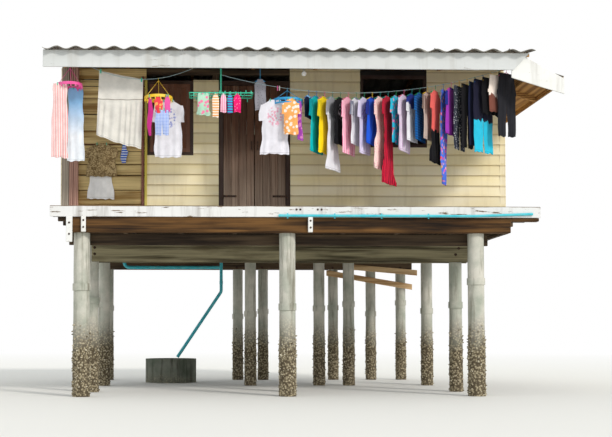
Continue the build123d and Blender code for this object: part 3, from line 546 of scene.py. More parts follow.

# The cream siding paint darkens the top of each lap row as a painted shadow under the board above.
CREAM = worn_paint("cream_paint", (247, 231, 184), (170, 148, 112), (172, 148, 102), 0.3, 0.72, 0.3, lap_shadow=0.7)
OCHRE = bare_timber("ochre_planks", (242, 216, 154), (150, 116, 66), 0.85, 0.35, 0.003)
YELLOW_TRIM = worn_paint("trim_paint", (214, 196, 84), (140, 118, 70), (128, 108, 56), 0.15)
BROWN = worn_paint("brown_paint", (60, 40, 32), (112, 86, 66), (38, 28, 24), 0.03, 0.74)
# Near-black paint for the board over the right window: painted shade that stands for the dark under the porch
# roof.
SHADE_HEAD_PAINT = worn_paint("head_painted_shade", (24, 18, 16), (52, 40, 32), (18, 14, 12), 0.02, 0.76, 0.3)
SHUTTER_PAINT = worn_paint("shutter_paint", (112, 68, 46), (150, 112, 84), (66, 44, 34), 0.05, 0.7, 0.6)
DOOR_PAINT = door_finish()
INNER_WALL = inner_finish()
WHITE = worn_paint("white_paint", (226, 225, 220), (140, 122, 104), (156, 148, 136), 0.3, 0.62)
EDGE_PAINT = worn_paint(
    "edge_paint", (226, 225, 222), (128, 108, 88), (140, 134, 126), 0.3, 0.58, 0.75, bare_above=2.505
)
# The fascia is the same white trim as the rake board, painted grey here as painted shade.
SHADED_FASCIA_PAINT = worn_paint("fascia_painted_shade", (206, 208, 206), (150, 138, 122), (166, 162, 152), 0.2)
DECKING = bare_timber("deck_boards", (150, 138, 120), (92, 80, 68), 0.88, 0.4)
DARK = bare_timber("dark_timber", (104, 86, 66), (50, 40, 32), 0.85, 0.5, 0.002)
STAINED = bare_timber("stained_header", (128, 90, 48), (32, 20, 12), 0.82, 0.95, 0.002)
OLIVE = bare_timber("olive_beam", (184, 174, 138), (70, 62, 44), 0.85, 0.8, 0.002)
TAN_WOOD = bare_timber("tan_timber", (240, 206, 158), (176, 136, 92), 0.85, 0.3)
ROOF_WOOD = bare_timber("roof_timber", (206, 156, 92), (130, 88, 46), 0.8)
POST_WOOD = bare_timber("post_timber", (196, 184, 168), (138, 126, 112), 0.85, 0.4)
PINK_WOOD = bare_timber("pinkish_post_timber", (196, 156, 140), (128, 92, 80), 0.85, 0.4)
STILT = concrete("stilt_concrete", (204, 200, 188), (118, 113, 98), (162, 166, 152), 1.35)
RING = concrete("ring_concrete", (124, 126, 114), (58, 58, 50), (86, 94, 80), 0.4)
SHELL = shell_finish()
SHEETS = sheet_cement("roof_sheets", (168, 164, 156), (118, 114, 108))
ZINC = sheet_cement("grey_flashing", (170, 172, 172), (132, 134, 134))
IRON = rusty_iron()
TURQUOISE = plain_plastic("turquoise_plastic", (44, 182, 198), (92, 200, 210))
WHITE_PLASTIC = plain_plastic("white_plastic", (226, 224, 214), (204, 200, 186))
POLE_PAINT = plain_plastic("pole_paint", (112, 58, 46), (134, 84, 68))
HOOP_PINK = plain_plastic("pink_hoop", (238, 56, 148), (240, 116, 176))
HOOP_YELLOW = plain_plastic("yellow_hoop", (244, 196, 20), (244, 210, 84))
HOOP_BLUE = plain_plastic("blue_hoop", (24, 142, 206), (70, 172, 216))
HOOP_GREEN = plain_plastic("green_rack", (38, 182, 146), (80, 200, 166))


# Camera, light and stage

SENSOR = 36.0
LENS = 61.3
LENS_SHIFT = (0.13, 0.12)
EYE = (-1.4165, -16.55, 0.80)
EYE_TILT = 92.4
EYE_TURN = -1.56
FARTHEST = 500.0
SUN_ENERGY = 1.85
SUN_SOFTNESS = 10.0
SUN_TILT = 58.0
SUN_TURN = 38.0
WORLD_STRENGTH = 0.94
STAGE_SIZE = 160.0
FADE_START = 9.0
FADE_END = 34.0


def make_camera():
    data = bpy.data.cameras.new("camera")
    data.sensor_width, data.lens = SENSOR, LENS
    data.shift_x, data.shift_y = LENS_SHIFT
    data.clip_end = FARTHEST
    camera = bpy.data.objects.new("camera", data)
    camera.location = EYE
    camera.rotation_euler = (math.radians(EYE_TILT), 0.0, math.radians(EYE_TURN))
    bpy.context.scene.collection.objects.link(camera)
    bpy.context.scene.camera = camera


def make_light():
    data = bpy.data.lights.new("key", "SUN")
    data.energy, data.angle, data.color = SUN_ENERGY, math.radians(SUN_SOFTNESS), (1.0, 0.97, 0.92)
    key = bpy.data.objects.new("key", data)
    key.rotation_euler = (math.radians(SUN_TILT), 0.0, math.radians(SUN_TURN))
    bpy.context.scene.collection.objects.link(key)
    world = bpy.data.worlds.new("studio")
    world.use_nodes = True
    bpy.context.scene.world = world
    nodes, links = world.node_tree.nodes, world.node_tree.links
    sky = nodes["Background"]
    sky.inputs["Color"].default_value = (0.93, 0.97, 1.0, 1.0)
    sky.inputs["Strength"].default_value = WORLD_STRENGTH
    seen = nodes.new("ShaderNodeBackground")
    seen.inputs["Color"].default_value = (1.0, 1.0, 1.0, 1.0)
    path = nodes.new("ShaderNodeLightPath")
    share = path.outputs["Is Camera Ray"]
    for ray in ("Is Glossy Ray", "Is Transmission Ray"):
        either = nodes.new("ShaderNodeMath")
        either.operation = "MAXIMUM"
        links.new(share, either.inputs[0])
        links.new(path.outputs[ray], either.inputs[1])
        share = either.outputs[0]
    blend = nodes.new("ShaderNodeMixShader")
    for socket, value in enumerate((share, sky.outputs[0], seen.outputs[0])):
        links.new(value, blend.inputs[socket])
    links.new(blend.outputs[0], nodes["World Output"].inputs["Surface"])


def make_stage():
    """A pale floor that fades to the white background far from the house."""
    half = STAGE_SIZE / 2
    edge = [(-half, -half, 0), (half, -half, 0), (half, half, 0), (-half, half, 0)]
    mesh = bpy.data.meshes.new("stage_floor")
    mesh.from_pydata(edge, [], [(0, 1, 2, 3)])
    floor = bpy.data.objects.new("stage_floor", mesh)
    floor.location = (0, 0, -0.001)
    finish = Finish("stage_floor", 0.9)
    finish.paint((226, 224, 218))
    away = finish.node("VectorMath", {0: finish.place}, "Value", operation="LENGTH")
    seen = finish.node("LightPath", {}, "Is Camera Ray")
    fade = finish.maths("MULTIPLY", finish.mask(away, FADE_START, FADE_END), seen)
    white = finish.node("Emission", {})
    blend = finish.node("MixShader", {0: fade, 1: finish.shader.outputs[0], 2: white})
    finish.connect(finish.tree.nodes["Material Output"], {"Surface": blend})
    mesh.materials.append(finish.material)
    bpy.context.scene.collection.objects.link(floor)


# Walls. A wall is made in the XZ plane, facing -Y, and is then carried to where it stands.

BUTT = 0.016
BUTT_EASE = 0.002
THIN_EDGE = 0.004
LAP = 0.012
BOARD_STEP = 0.45
BOARD_LENGTH = (1.9, 3.6)
BOARD_GAP = 0.0012
SHORTEST = 0.012
SHEET_RISE = 0.019
SHEET_THICKNESS = 0.006
SHEET_HEIGHT = 2 * SHEET_RISE + SHEET_THICKNESS
RIDGE_Z = corners("roof_sheets_front")[1].z - SHEET_HEIGHT
GABLE_DROP = 0.05


def standing_on(x, y, turn):
    return Matrix.Translation((x, y, 0)) @ Matrix.Rotation(math.radians(turn), 4, "Z")


FRONT_WALL = standing_on(0, WALL_Y, 0)
RIGHT_WALL = standing_on(WALL_RIGHT, 0, 90)
BACK_WALL = standing_on(0, BACK_Y, 180)
LEFT_WALL = standing_on(WALL_LEFT, 0, -90)


def flat_span(left, right):
    return lambda z: (left, right)


def gable_span(left, right):
    """Ends of a gable row: the wall's own ends, or the roof slope above them."""

    def span(z):
        reach = max((RIDGE_Z - GABLE_DROP - z) / math.tan(ROOF_SLOPE), 0.01)
        return max(left, -reach), min(right, reach)

    return span


def clear_spans(a, b, bottom, top, openings):
    """The parts of a row from a to b that no opening cuts."""
    spans = [(a, b)]
    for u0, u1, z0, z1 in openings:
        if z0 < top - BUTT_EASE and z1 > bottom + BUTT_EASE:
            halves = [half for x0, x1 in spans for half in ((x0, min(x1, u0)), (max(x0, u1), x1))]
            spans = [(x0, x1) for x0, x1 in halves if x1 > x0]
    return [(x0, x1) for x0, x1 in spans if x1 - x0 > SHORTEST]


def lap_boards(pile, stand, z1, span, openings):
    """Overlapping boards up a wall. span gives the wall's left and right end at a height."""
    start = len(pile.verts)
    for row in range(math.ceil((z1 - DECK_TOP) / LAP_PITCH)):
        low, high = DECK_TOP + row * LAP_PITCH, min(DECK_TOP + (row + 1) * LAP_PITCH, z1)
        cuts = sorted({low, high, *[z for box in openings for z in box[2:] if low < z < high]})
        left, right = span(low)
        joints = [left]
        while right - joints[-1] > BOARD_LENGTH[1]:
            joints.append(joints[-1] + pile.dice.uniform(*BOARD_LENGTH))
        joints.append(right)
        for a, b in zip(joints, joints[1:]):
            for bottom, top in zip(cuts, cuts[1:]):
                for u0, u1 in clear_spans(a, b, bottom, top, openings):
                    one_lap(pile, u0, u1, low, bottom, top, high, span)
    pile.carry(start, stand)


def one_lap(pile, u0, u1, row_low, bottom, top, row_high, span):
    """One board, or the part of it between two heights, thicker at its butt than at its top."""
    depths = [BUTT - (BUTT - THIN_EDGE) * (z - row_low) / LAP_PITCH for z in (bottom, top)]
    crest = top + (LAP if abs(top - row_high) < MERGE else 0.0)
    butt = ((0.0, bottom), (depths[0] - BUTT_EASE, bottom), (depths[0], bottom + 0.003))
    section = (*butt, (depths[1], crest), (0.0, crest))
    count = max(1, round((u1 - u0) / BOARD_STEP))
    seed = pile.dice.uniform(0, 100)
    rings = []
    for k in range(count + 1):
        u = u0 + BOARD_GAP + (u1 - u0 - 2 * BOARD_GAP) * k / count
        wave = 0.0022 * noise.noise(Vector((u * 1.3, seed, 0.0)))
        proud = 0.0012 * noise.noise(Vector((u * 0.9, seed, 9.0)))
        ring = []
        for depth, z in section:
            left, right = span(z)
            ring.append(Vector((min(max(u, left), right), -depth - (proud if depth else 0), z + wave)))
        rings.append(ring)
    pile.loft(rings, 0)


def on_wall(low, high):
    """The wall that a window's part belongs to, and the part's reach across, up and into that wall."""
    if low.x > WALL_RIGHT - 0.1:
        return RIGHT_WALL, (low.y, high.y, low.z, high.z), (WALL_RIGHT - high.x, WALL_RIGHT - low.x)
    if high.y > BACK_Y - 0.1:
        return BACK_WALL, (-high.x, -low.x, low.z, high.z), (BACK_Y - high.y, BACK_Y - low.y)
    return FRONT_WALL, (low.x, high.x, low.z, high.z), (low.y - WALL_Y, high.y - WALL_Y)


def windows_in(wall):
    reaches = [on_wall(*box) for box in solids("window_frames")]
    return [reach for stand, reach, _ in reaches if stand is wall]


CORNER_WIDTH = 0.07
CORNER_PROUD = 0.015


def corner_boards(pile, x, y, top, boards):
    """Boards that close a corner of the room, on its side and then on its front or back."""
    out_x, out_y = math.copysign(1, x), math.copysign(1, y)
    beside = ((x, x + out_x * CORNER_PROUD), (y + out_y * CORNER_PROUD, y - out_y * CORNER_WIDTH))
    before = ((x, x - out_x * CORNER_WIDTH), (y, y + out_y * CORNER_PROUD))
    for xs, ys in (beside, before)[:boards]:
        pile.plank((min(xs), min(ys), DECK_TOP), (max(xs), max(ys), top), 2)


def make_siding():
    window, opening = windows_in(FRONT_WALL)
    door = (door_low.x, door_high.x, DECK_TOP, door_high.z)
    front = Pile(11)
    lap_boards(front, FRONT_WALL, door_high.z, flat_span(bay_high.x, door_low.x), [window])
    open_to_top = (*opening[:3], WALL_TOP + 0.1)
    lap_boards(front, FRONT_WALL, WALL_TOP, flat_span(door_high.x, WALL_RIGHT), [open_to_top, door])
    front.object("front_siding", CREAM, "yellow_boards")
    # The board over the right window's opening is painted near black as painted shade for the dark under the
    # porch roof.
    head = Pile(13)
    head.plank((opening[0], WALL_Y - 0.01, opening[3]), (opening[1], WALL_Y, WALL_TOP), 0)
    head.object("window_head_painted_shade", SHADE_HEAD_PAINT, "brown_paint")
    sides = Pile(12)
    frame_low = corners("side_roof_frame")[0].z
    under_roof = (-3, 3, frame_low + 0.12, side_high.z + 0.004)
    gable = RIDGE_Z - GABLE_DROP - 0.02
    lap_boards(sides, RIGHT_WALL, gable, gable_span(WALL_Y, BACK_Y), [*windows_in(RIGHT_WALL), under_roof])
    lap_boards(sides, LEFT_WALL, gable, gable_span(-BACK_Y, -WALL_Y), [])
    lap_boards(sides, BACK_WALL, BACK_TOP, flat_span(-WALL_RIGHT, -WALL_LEFT), windows_in(BACK_WALL))
    corner_boards(sides, WALL_LEFT, WALL_Y, bay_high.z, 1)
    corner_boards(sides, WALL_LEFT, BACK_Y, BACK_TOP, 2)
    corner_boards(sides, WALL_RIGHT, BACK_Y, min(BACK_TOP, frame_low + 0.1), 2)
    corner_boards(sides, WALL_RIGHT, WALL_Y, min(WALL_TOP, frame_low + 0.1), 2)
    sides.object("side_siding", CREAM, "yellow_boards")


PLANK_HEIGHTS = (0.17, 0.2, 0.22, 0.15, 0.19, 0.092, 0.2, 0.24, 0.23, 0.175, 0.1)
LOWEST_PLANK = 0.03


def make_plank_bay():
    """Rough planks of uneven height at the left of the porch, and the strip beside them."""
    pile = Pile(21)
    z = DECK_TOP
    for height in PLANK_HEIGHTS:
        top = min(z + height - pile.dice.uniform(0.005, 0.014), bay_high.z)
        if top - z < LOWEST_PLANK:
            break
        front = WALL_Y - pile.dice.uniform(0.0, 0.003)
        pile.plank((bay_low.x, front, z), (bay_high.x, bay_high.y, top), 0, 0.006, 0.1, 0.003)
        z += height
    pile.plank((bay_low.x, WALL_Y, z), bay_high, 0, 0.004, 0.1, 0.002)
    pile.object("plank_bay_boards", OCHRE, "ochre_planks", ("front_wall_plank_bay",))
    trim = Pile(22)
    trim.plank((bay_high.x - 0.02, WALL_Y - 0.026, DECK_TOP), (bay_high.x + 0.016, WALL_Y, door_high.z), 2)
    trim.object("bay_trim", YELLOW_TRIM, "yellow_boards")


# Doors and shutters

DOOR_BOARDS = 4
DOOR_GAP = 0.0015
DOOR_FACE = 0.02
LEDGE_HEIGHTS = (0.22, 0.89, 1.59)
LEDGE_WIDTH = 0.11
LEDGE_INSET = 0.045
PANEL_STILE = 0.055
PANEL_RAIL = 0.06
PANEL_SINK = 0.008
PANEL_BOARD = 0.09


def make_doors():
    for seed, (side, body) in enumerate(DOORS.items(), 31):
        node = f"door_leaf_{side}"
        low, high = corners(node)
        pile = Pile(seed)
        back = low.y + DOOR_FACE
        width = (high.x - low.x) / DOOR_BOARDS
        for i in range(DOOR_BOARDS):
            x = low.x + i * width
            front = low.y + pile.dice.uniform(0, 0.002)
            pile.plank((x + DOOR_GAP, front, low.z), (x + width - DOOR_GAP, back, high.z), 2)
        for height in LEDGE_HEIGHTS:
            z = low.z + height
            pile.plank((low.x + LEDGE_INSET, back, z), (high.x - LEDGE_INSET, high.y, z + LEDGE_WIDTH), 0)
        pile.object(node + "_boards", DOOR_PAINT, "brown_paint", (node,), body=body)


def framed_panel(pile, x0, x1, z0, z1, y0, y1):
    """A shutter leaf: stiles and three rails around sunk boards, facing -Y."""
    pile.plank((x0, y0, z0), (x0 + PANEL_STILE, y1, z1), 2)
    pile.plank((x1 - PANEL_STILE, y0, z0), (x1, y1, z1), 2)
    belt = z0 + (z1 - z0) * 0.56
    for z in (z0, belt, z1 - PANEL_RAIL):
        pile.plank((x0 + PANEL_STILE, y0, z), (x1 - PANEL_STILE, y1, z + PANEL_RAIL), 0)
    count = max(1, round((x1 - x0 - 2 * PANEL_STILE) / PANEL_BOARD))
    width = (x1 - x0 - 2 * PANEL_STILE) / count
    for low, high in ((z0 + PANEL_RAIL, belt), (belt + PANEL_RAIL, z1 - PANEL_RAIL)):
        for i in range(count):
            x = x0 + PANEL_STILE + i * width
            pile.plank((x + 0.001, y0 + PANEL_SINK, low), (x + width - 0.001, y1, high), 2)


def make_shutters():
    """Pairs of shutters in every closed window."""
    pile = Pile(41)
    for box in solids("window_shutters"):
        stand, reach, depth = on_wall(*box)
        start = len(pile.verts)
        framed_panel(pile, *reach, *depth)
        pile.carry(start, stand)
    pile.object("shutter_leaves", SHUTTER_PAINT, "brown_paint", ("window_shutters",))


# Deck

DECK_BOARD = 0.14
DECK_GAP = 0.006
DECK_JOINTS = (1.2, 2.3, 3.4, 4.4)


def make_deck():
    pile = Pile(51)
    across = deck_high.x - deck_low.x + DECK_GAP
    count = round(across / (DECK_BOARD + DECK_GAP))
    for i in range(count):
        x = deck_low.x + i * across / count
        joint = deck_low.y + pile.dice.choice(DECK_JOINTS)
        for y0, y1 in ((deck_low.y, joint - 0.002), (joint + 0.002, deck_high.y)):
            top = deck_high.z - pile.dice.uniform(0, 0.002)
            pile.plank((x, y0, deck_low.z), (x + across / count - DECK_GAP, y1, top), 1, 0.003, 0.6)
    pile.object("deck_planks", DECKING, "floor_timber", ("floor_boards",))


# Roof sheets

WAVE = 0.25
SHEET_WAVES = 4
WAVE_STEPS = 12
SIDE_LAP = 0.2
END_LAP = 0.16


def corrugated_sheet(pile, waves, length, rows, place, lift):
    """One sheet. place turns (across, along, height) into a point of the model."""
    top, bottom = [], []
    columns = round(waves * WAVE_STEPS)
    seed = pile.dice.uniform(0, 60)
    for r in range(rows + 1):
        for c in range(columns + 1):
            across, along = c * WAVE / WAVE_STEPS, length * r / rows
            wave = SHEET_RISE - SHEET_RISE * math.sin(TURN * across / WAVE)
            wander = 0.003 * noise.noise(Vector((across * 1.5, along * 1.2, seed)))
            height = wave + lift + 0.006 * across / (waves * WAVE) + wander
            top.append(place(across, along, height + SHEET_THICKNESS))
            bottom.append(place(across, along, height))
    pile.slab(columns, top, bottom, 1)


def sheet_rows(pile, waves_total, courses, place):
    """Sheets lapped side by side, in courses up the slope: start, length, rows, lift, slip."""
    for first in range(0, math.ceil(waves_total), SHEET_WAVES):
        waves = min(SHEET_WAVES + SIDE_LAP, waves_total - first)
        for start, length, rows, lift, slip in courses:
            if slip:
                length -= pile.dice.uniform(0, slip)

            def from_corner(across, along, height, edge=first * WAVE, start=start):
                return place(edge + across, start + along, height)

            corrugated_sheet(pile, waves, length, rows, from_corner, lift)


def make_roof_sheets():
    rise, run = math.sin(ROOF_SLOPE), math.cos(ROOF_SLOPE)
    low, high = corners("roof_sheets_front")
    for name, side, seed in (("front", -1, 61), ("back", 1, 62)):
        pile = Pile(seed)
        reach = abs(corners("roof_sheets_" + name)[side > 0].y)
        eave_z = RIDGE_Z - reach * math.tan(ROOF_SLOPE)
        course = reach / run / 2

        def place(across, along, height, reach=reach, eave_z=eave_z, side=side):
            return Vector((low.x + across, side * (reach - along * run), eave_z + along * rise + height))

        courses = ((0.0, course + END_LAP, 10, 0.0, 0.012), (course, course, 10, 0.007, 0.0))
        sheet_rows(pile, round((high.x - low.x) / WAVE), courses, place)
        pile.object(f"{name}_sheets", SHEETS, "roof_sheet", (f"roof_sheets_{name}",), 40)


def make_side_sheets():
    rise, run = math.sin(SIDE_SLOPE), math.cos(SIDE_SLOPE)

    def place(across, along, height):
        top = side_high.z - SHEET_HEIGHT - along * rise
        return Vector((side_low.x + along * run, side_low.y + across, top + height))

    pile = Pile(63)
    course = (0.0, (side_high.x - side_low.x) / run, 3, 0.0, 0.0)
    sheet_rows(pile, (side_high.y - side_low.y) / WAVE, (course,), place)
    pile.object("side_sheets", SHEETS, "roof_sheet", ("side_roof_sheets",), 40)


RIDGE_LENGTHS = 4
RIDGE_LAP = 0.08


def make_ridge():
    """Ridge cap in lengths that overlap, bent over the sheets."""
    low, high = corners("ridge_cap")
    pile = Pile(64)
    step = (high.x - low.x) / RIDGE_LENGTHS
    for i in range(RIDGE_LENGTHS):
        x0 = low.x + i * step
        length = step + (RIDGE_LAP if i < RIDGE_LENGTHS - 1 else 0)
        upper = []
        for k in range(13):
            y = high.y * (k / 6 - 1)
            round_off = 0.012 * math.exp(-((y / 0.03) ** 2))
            upper.append((y, high.z - abs(y) * math.tan(ROOF_SLOPE) - round_off + 0.003 * (i % 2)))
        section = upper + [(y, z - SHEET_THICKNESS) for y, z in reversed(upper)]
        rings = []
        for k in range(7):
            x = x0 + length * k / 6
            wave = 0.002 * noise.noise(Vector((x * 2.1, i, 3)))
            rings.append([Vector((x, y, z + wave)) for y, z in section])
        pile.loft(rings, 0)
    pile.object("ridge_lengths", SHEETS, "roof_sheet", ("ridge_cap",), 30)


FLASHING = ((0.001, 0.075), (0.018, 0.07), (0.019, 0.006), (0.12, 0.002 - 0.12 * math.tan(SIDE_SLOPE)))
FLASHING_THICKNESS = 0.003


def make_flashing():
    """A bent strip that covers the joint between the side wall and the sheets of the side roof."""
    outer = [(x + FLASHING_THICKNESS, z + FLASHING_THICKNESS) for x, z in reversed(FLASHING)]
    rings = []
    for k in range(25):
        y = WALL_Y + (side_high.y - WALL_Y) * k / 24
        wave = side_high.z + 0.0015 * noise.noise(Vector((y * 2.3, 1.0, 5.0)))
        rings.append([Vector((WALL_RIGHT + x, y, wave + z)) for x, z in (*FLASHING, *outer)])
    pile = Pile(305)
    pile.loft(rings, 1)
    pile.object("side_flashing", ZINC, "roof_sheet")


# Stilts

STILT_SIDES = 30
COLLAR_WIDTH = 0.012
COLLAR_HALF = 0.045
FLAT_DEPTH = 0.015
CRUST_TOP = 0.95
FINE_TOP = 1.05


def middle(low, high):
    return (low + high) / 2


def crust_share(z, x, y):
    """How thick the crust is at a height, from 1 near the water to 0 above the tide."""
    edge = CRUST_TOP + 0.2 * noise.noise(Vector((x * 2.3, y * 2.3, z * 3.1)))
    return max(0.0, min(1.0, (edge - z) / 0.35))


def stilt_mesh(pile, low, high, collar_z, beam_bottom, flats):
    """A round stilt with its collar, a crusted foot and the flats that its beams sit in."""
    x, y, _ = middle(low, high)
    collar_r = (high.x - low.x) / 2
    radius = collar_r - COLLAR_WIDTH
    heights = [0.0]
    while heights[-1] < high.z - 0.06:
        heights.append(heights[-1] + (0.03 if heights[-1] < FINE_TOP else 0.09))
    heights += [collar_z + side * (COLLAR_HALF + ease) for side in (-1, 1) for ease in (0, 0.001)]
    heights = sorted(h for h in heights if h < high.z - 0.01) + [high.z]
    rings = []
    for z in heights:
        share = crust_share(z, x, y)
        base = collar_r if abs(z - collar_z) <= COLLAR_HALF + 0.0002 else radius
        ring = []
        for spot in around(x, y, z, radius, STILT_SIDES):
            lump = 0.5 + 0.5 * noise.noise(spot * 17.0)
            crust = share * (0.002 + 0.01 * lump + 0.006 * noise.noise(spot * 41.0))
            out = (base + crust + 0.0015 * noise.noise(spot * 5.0)) / radius
            px, py = x + (spot.x - x) * out, y + (spot.y - y) * out
            for sign in flats if z > beam_bottom - 0.001 else ():
                py = y + sign * min(sign * (py - y), radius - FLAT_DEPTH)
            ring.append(Vector((px, py, z)))
        rings.append(ring)
    pile.loft(rings, 2)


def barnacles(pile, x, y, radius, count):
    """Small open cones that crust the foot of a stilt."""
    dice = pile.dice
    for _ in range(count):
        z = dice.uniform(0.015, CRUST_TOP)
        if dice.random() > crust_share(z, x, y):
            continue
        turn = dice.uniform(0, TURN)
        out = Vector((math.cos(turn), math.sin(turn), 0))
        root = Vector((x, y, z)) + out * (radius + 0.001)
        tilt = Vector([dice.uniform(*reach) for reach in ((-0.4, 0.4), (-0.4, 0.4), (-0.5, 0.3))])
        aim = (out + tilt).normalized()
        size = dice.uniform(0.006, 0.014)
        pile.tube([root + aim * size * k for k in (0, 0.8, 1.7)], [size * k for k in (1, 0.8, 0.42)], 6)


def collar_height(node, low, high):
    """The middle height of the collar, read from the widest ring of the node's solid."""
    x, y, _ = middle(low, high)
    reach = (high.x - low.x) / 2
    places = [v.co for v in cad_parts[node].data.vertices]
    rims = [p.z for p in places if abs(math.hypot(p.x - x, p.y - y) - reach) < 0.002]
    return (min(rims) + max(rims)) / 2


def make_stilts():
    beams = sorted(solids("cross_beams") + solids("deep_beams"), key=lambda box: box[0].y)
    for node, count, seed in (("stilts_front", 420, 71), ("stilts_rear", 150, 72)):
        pile, shells = Pile(seed), Pile(seed + 10)
        for low, high in solids(node):
            x, y, _ = middle(low, high)
            near = [box for box in beams if abs(middle(*box).y - y) < 0.2]
            flats = sorted({1 if box[0].y > y - 0.05 else -1 for box in near})
            collar = collar_height(node, low, high)
            stilt_mesh(pile, low, high, collar, min(box[0].z for box in near), flats)
            barnacles(shells, x, y, (high.x - low.x) / 2 - COLLAR_WIDTH, count)
        pile.object(f"{node}_cast", STILT, "concrete", (node,), 50)
        shells.object(f"{node}_shells", SHELL, "concrete")


# Timber and the CAD nodes that keep their shape

# Node, finish, slot, and the chamfer and the waviness where they differ from the usual ones
TIMBER = (
    ("cross_beams", DARK, "dark_timber", {}),
    ("deep_beams", OLIVE, "dark_timber", {}),
    ("floor_joists", DARK, "dark_timber", {}),
    ("joist_header", STAINED, "dark_timber", {"chamfer": 0.006}),
    ("floor_bearers", DARK, "dark_timber", {}),
    ("back_braces", TAN_WOOD, "dark_timber", {}),
    ("deck_edge_board", EDGE_PAINT, "white_paint", {}),
    ("deck_brackets", WHITE, "white_paint", {}),
    ("side_rake_board", WHITE, "white_paint", {}),
    ("front_fascia", SHADED_FASCIA_PAINT, "white_paint", {}),
    ("roof_rafters", ROOF_WOOD, "roof_timber", {}),
    ("roof_purlins", ROOF_WOOD, "roof_timber", {}),
    ("wall_posts", DARK, "roof_timber", {}),
    ("wall_plates", DARK, "roof_timber", {}),
    ("side_roof_frame", ROOF_WOOD, "roof_timber", {}),
    ("laundry_rail", ROOF_WOOD, "roof_timber", {"chamfer": 0.002}),
    ("window_frames", BROWN, "brown_paint", {"chamfer": 0.002, "wander": 0.001}),
    ("door_frame", BROWN, "brown_paint", {"chamfer": 0.002, "wander": 0.0}),
)
REFINISHED = (
    (INNER_WALL, ("front_wall_window_bay", "front_wall_right_bay", "left_wall", "right_wall", "back_wall")),
    (POLE_PAINT, ("line_pole",)),
    (RING, ("tank_ring",)),
    (TURQUOISE, ("water_pipe", "drain_pipe")),
    (IRON, ("door_pintles", "door_ironwork_left", "door_ironwork_right")),
)
POST_WIDTH = 0.1


def make_timber():
    for seed, (node, finish, slot, shape) in enumerate(TIMBER, 1):
        dress(node, finish, slot, seed, **shape)
    for finish, nodes in REFINISHED:
        for node in nodes:
            finish_node(node, finish)


def finish_node(node, finish):
    """Gives a CAD node that stays as it is a better material."""
    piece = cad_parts[node]
    if not piece.data.materials:
        piece.data.materials.append(finish.material)
    for slot in piece.material_slots:
        slot.material = finish.material


def make_porch_post():
    """A grey post with two thinner boards beside it."""
    low, high = corners("porch_post")
    post = Pile(91)
    post.plank(low, (low.x + POST_WIDTH, high.y, high.z), 2, 0.005, 0.3, 0.002)
    post.object("porch_post_grey", POST_WOOD, "floor_timber", ("porch_post",))
    boards = Pile(92)
    boards.plank((low.x + 0.104, low.y + 0.012, low.z), (low.x + 0.164, high.y, high.z), 2, 0.004, 0.3, 0.002)
    boards.plank((low.x + 0.169, low.y + 0.004, low.z), high, 2, 0.004, 0.3, 0.002)
    boards.object("porch_post_boards", PINK_WOOD, "floor_timber", ("porch_post",))


# Lamp, bolts and pipe fittings

# Radius, and depth under the ceiling, of the lamp's turned parts
CEILING_ROSE = ((0.037, 0), (0.037, 0.006), (0.034, 0.018), (0.02, 0.028), (0.006, 0.03))
LAMP_CORD = ((0.005, 0.026), (0.005, 0.1))
SOCKET_TOP = ((0.006, 0.092), (0.013, 0.098))
SOCKET_RIBS = 5
SOCKET_FOOT = ((0.016, 0.142), (0.0145, 0.144))
BULB_NECK = ((0.013, 0.138), (0.014, 0.146))
BULB_RADIUS = 0.034


def lathe(pile, x, y, top, profile, sides=20):
    """A turned shape from (radius, depth under top) pairs."""
    pile.loft([around(x, y, top - depth, radius, sides) for radius, depth in profile], 2)


def make_lamp():
    """The holder of the porch lamp with its ribbed socket, and a pearl bulb with a faint painted glow."""
    low, high = corners("porch_lamp")
    x, y, _ = middle(low, high)
    ribs = []
    for k in range(SOCKET_RIBS):
        depth = 0.102 + 0.008 * k
        ribs += [(0.0175, depth), (0.0175, depth + 0.004), (0.0162, depth + 0.005)]
    holder = Pile(301)
    for profile in (CEILING_ROSE, LAMP_CORD, (*SOCKET_TOP, *ribs, *SOCKET_FOOT)):
        lathe(holder, x, y, high.z, profile)
    holder.object("lamp_holder", WHITE_PLASTIC, "lamp_socket", ("porch_lamp",), 35)
    foot = high.z - low.z
    turns = [math.pi * k / 16 for k in range(3, 16)]
    ball = [(BULB_RADIUS * math.sin(t), foot - BULB_RADIUS - BULB_RADIUS * math.cos(t)) for t in turns]
    bulb = Pile(302)
    lathe(bulb, x, y, high.z, (*BULB_NECK, *ball, (0.002, foot)), 24)
    glass = plain_plastic("pearl_glass_painted_glow", (250, 250, 246), (244, 244, 238))
    # Painted glow: a faint emission keeps the bulb white in the porch's shade, though the lamp is not lit.
    glass.shader.inputs["Emission Color"].default_value = (1.0, 0.99, 0.96, 1.0)
    glass.shader.inputs["Emission Strength"].default_value = 0.2
    bulb.object("lamp_bulb", glass, "lamp_socket", ("porch_lamp",), 50)


def bolt(pile, place, out, washer=0.02, head=0.012):
    """A washer, a six-sided nut and the bolt's end that stand on a face, pointing along out."""
    place, out = Vector(place), Vector(out).normalized()
    for foot, tip, radius, sides in ((-2, 3, washer, 14), (2, 11, head, 6), (10, 17, head * 0.5, 8)):
        pile.tube([place + out * foot * 0.001, place + out * tip * 0.001], radius, sides)


BOLT_SPREAD = 0.045
BOARD_BOLTS = (-0.125, -0.075, 0.155, 0.205)
BRACKET_BOLTS = (0.3, 0.75)
WAVE_CREST = 0.75


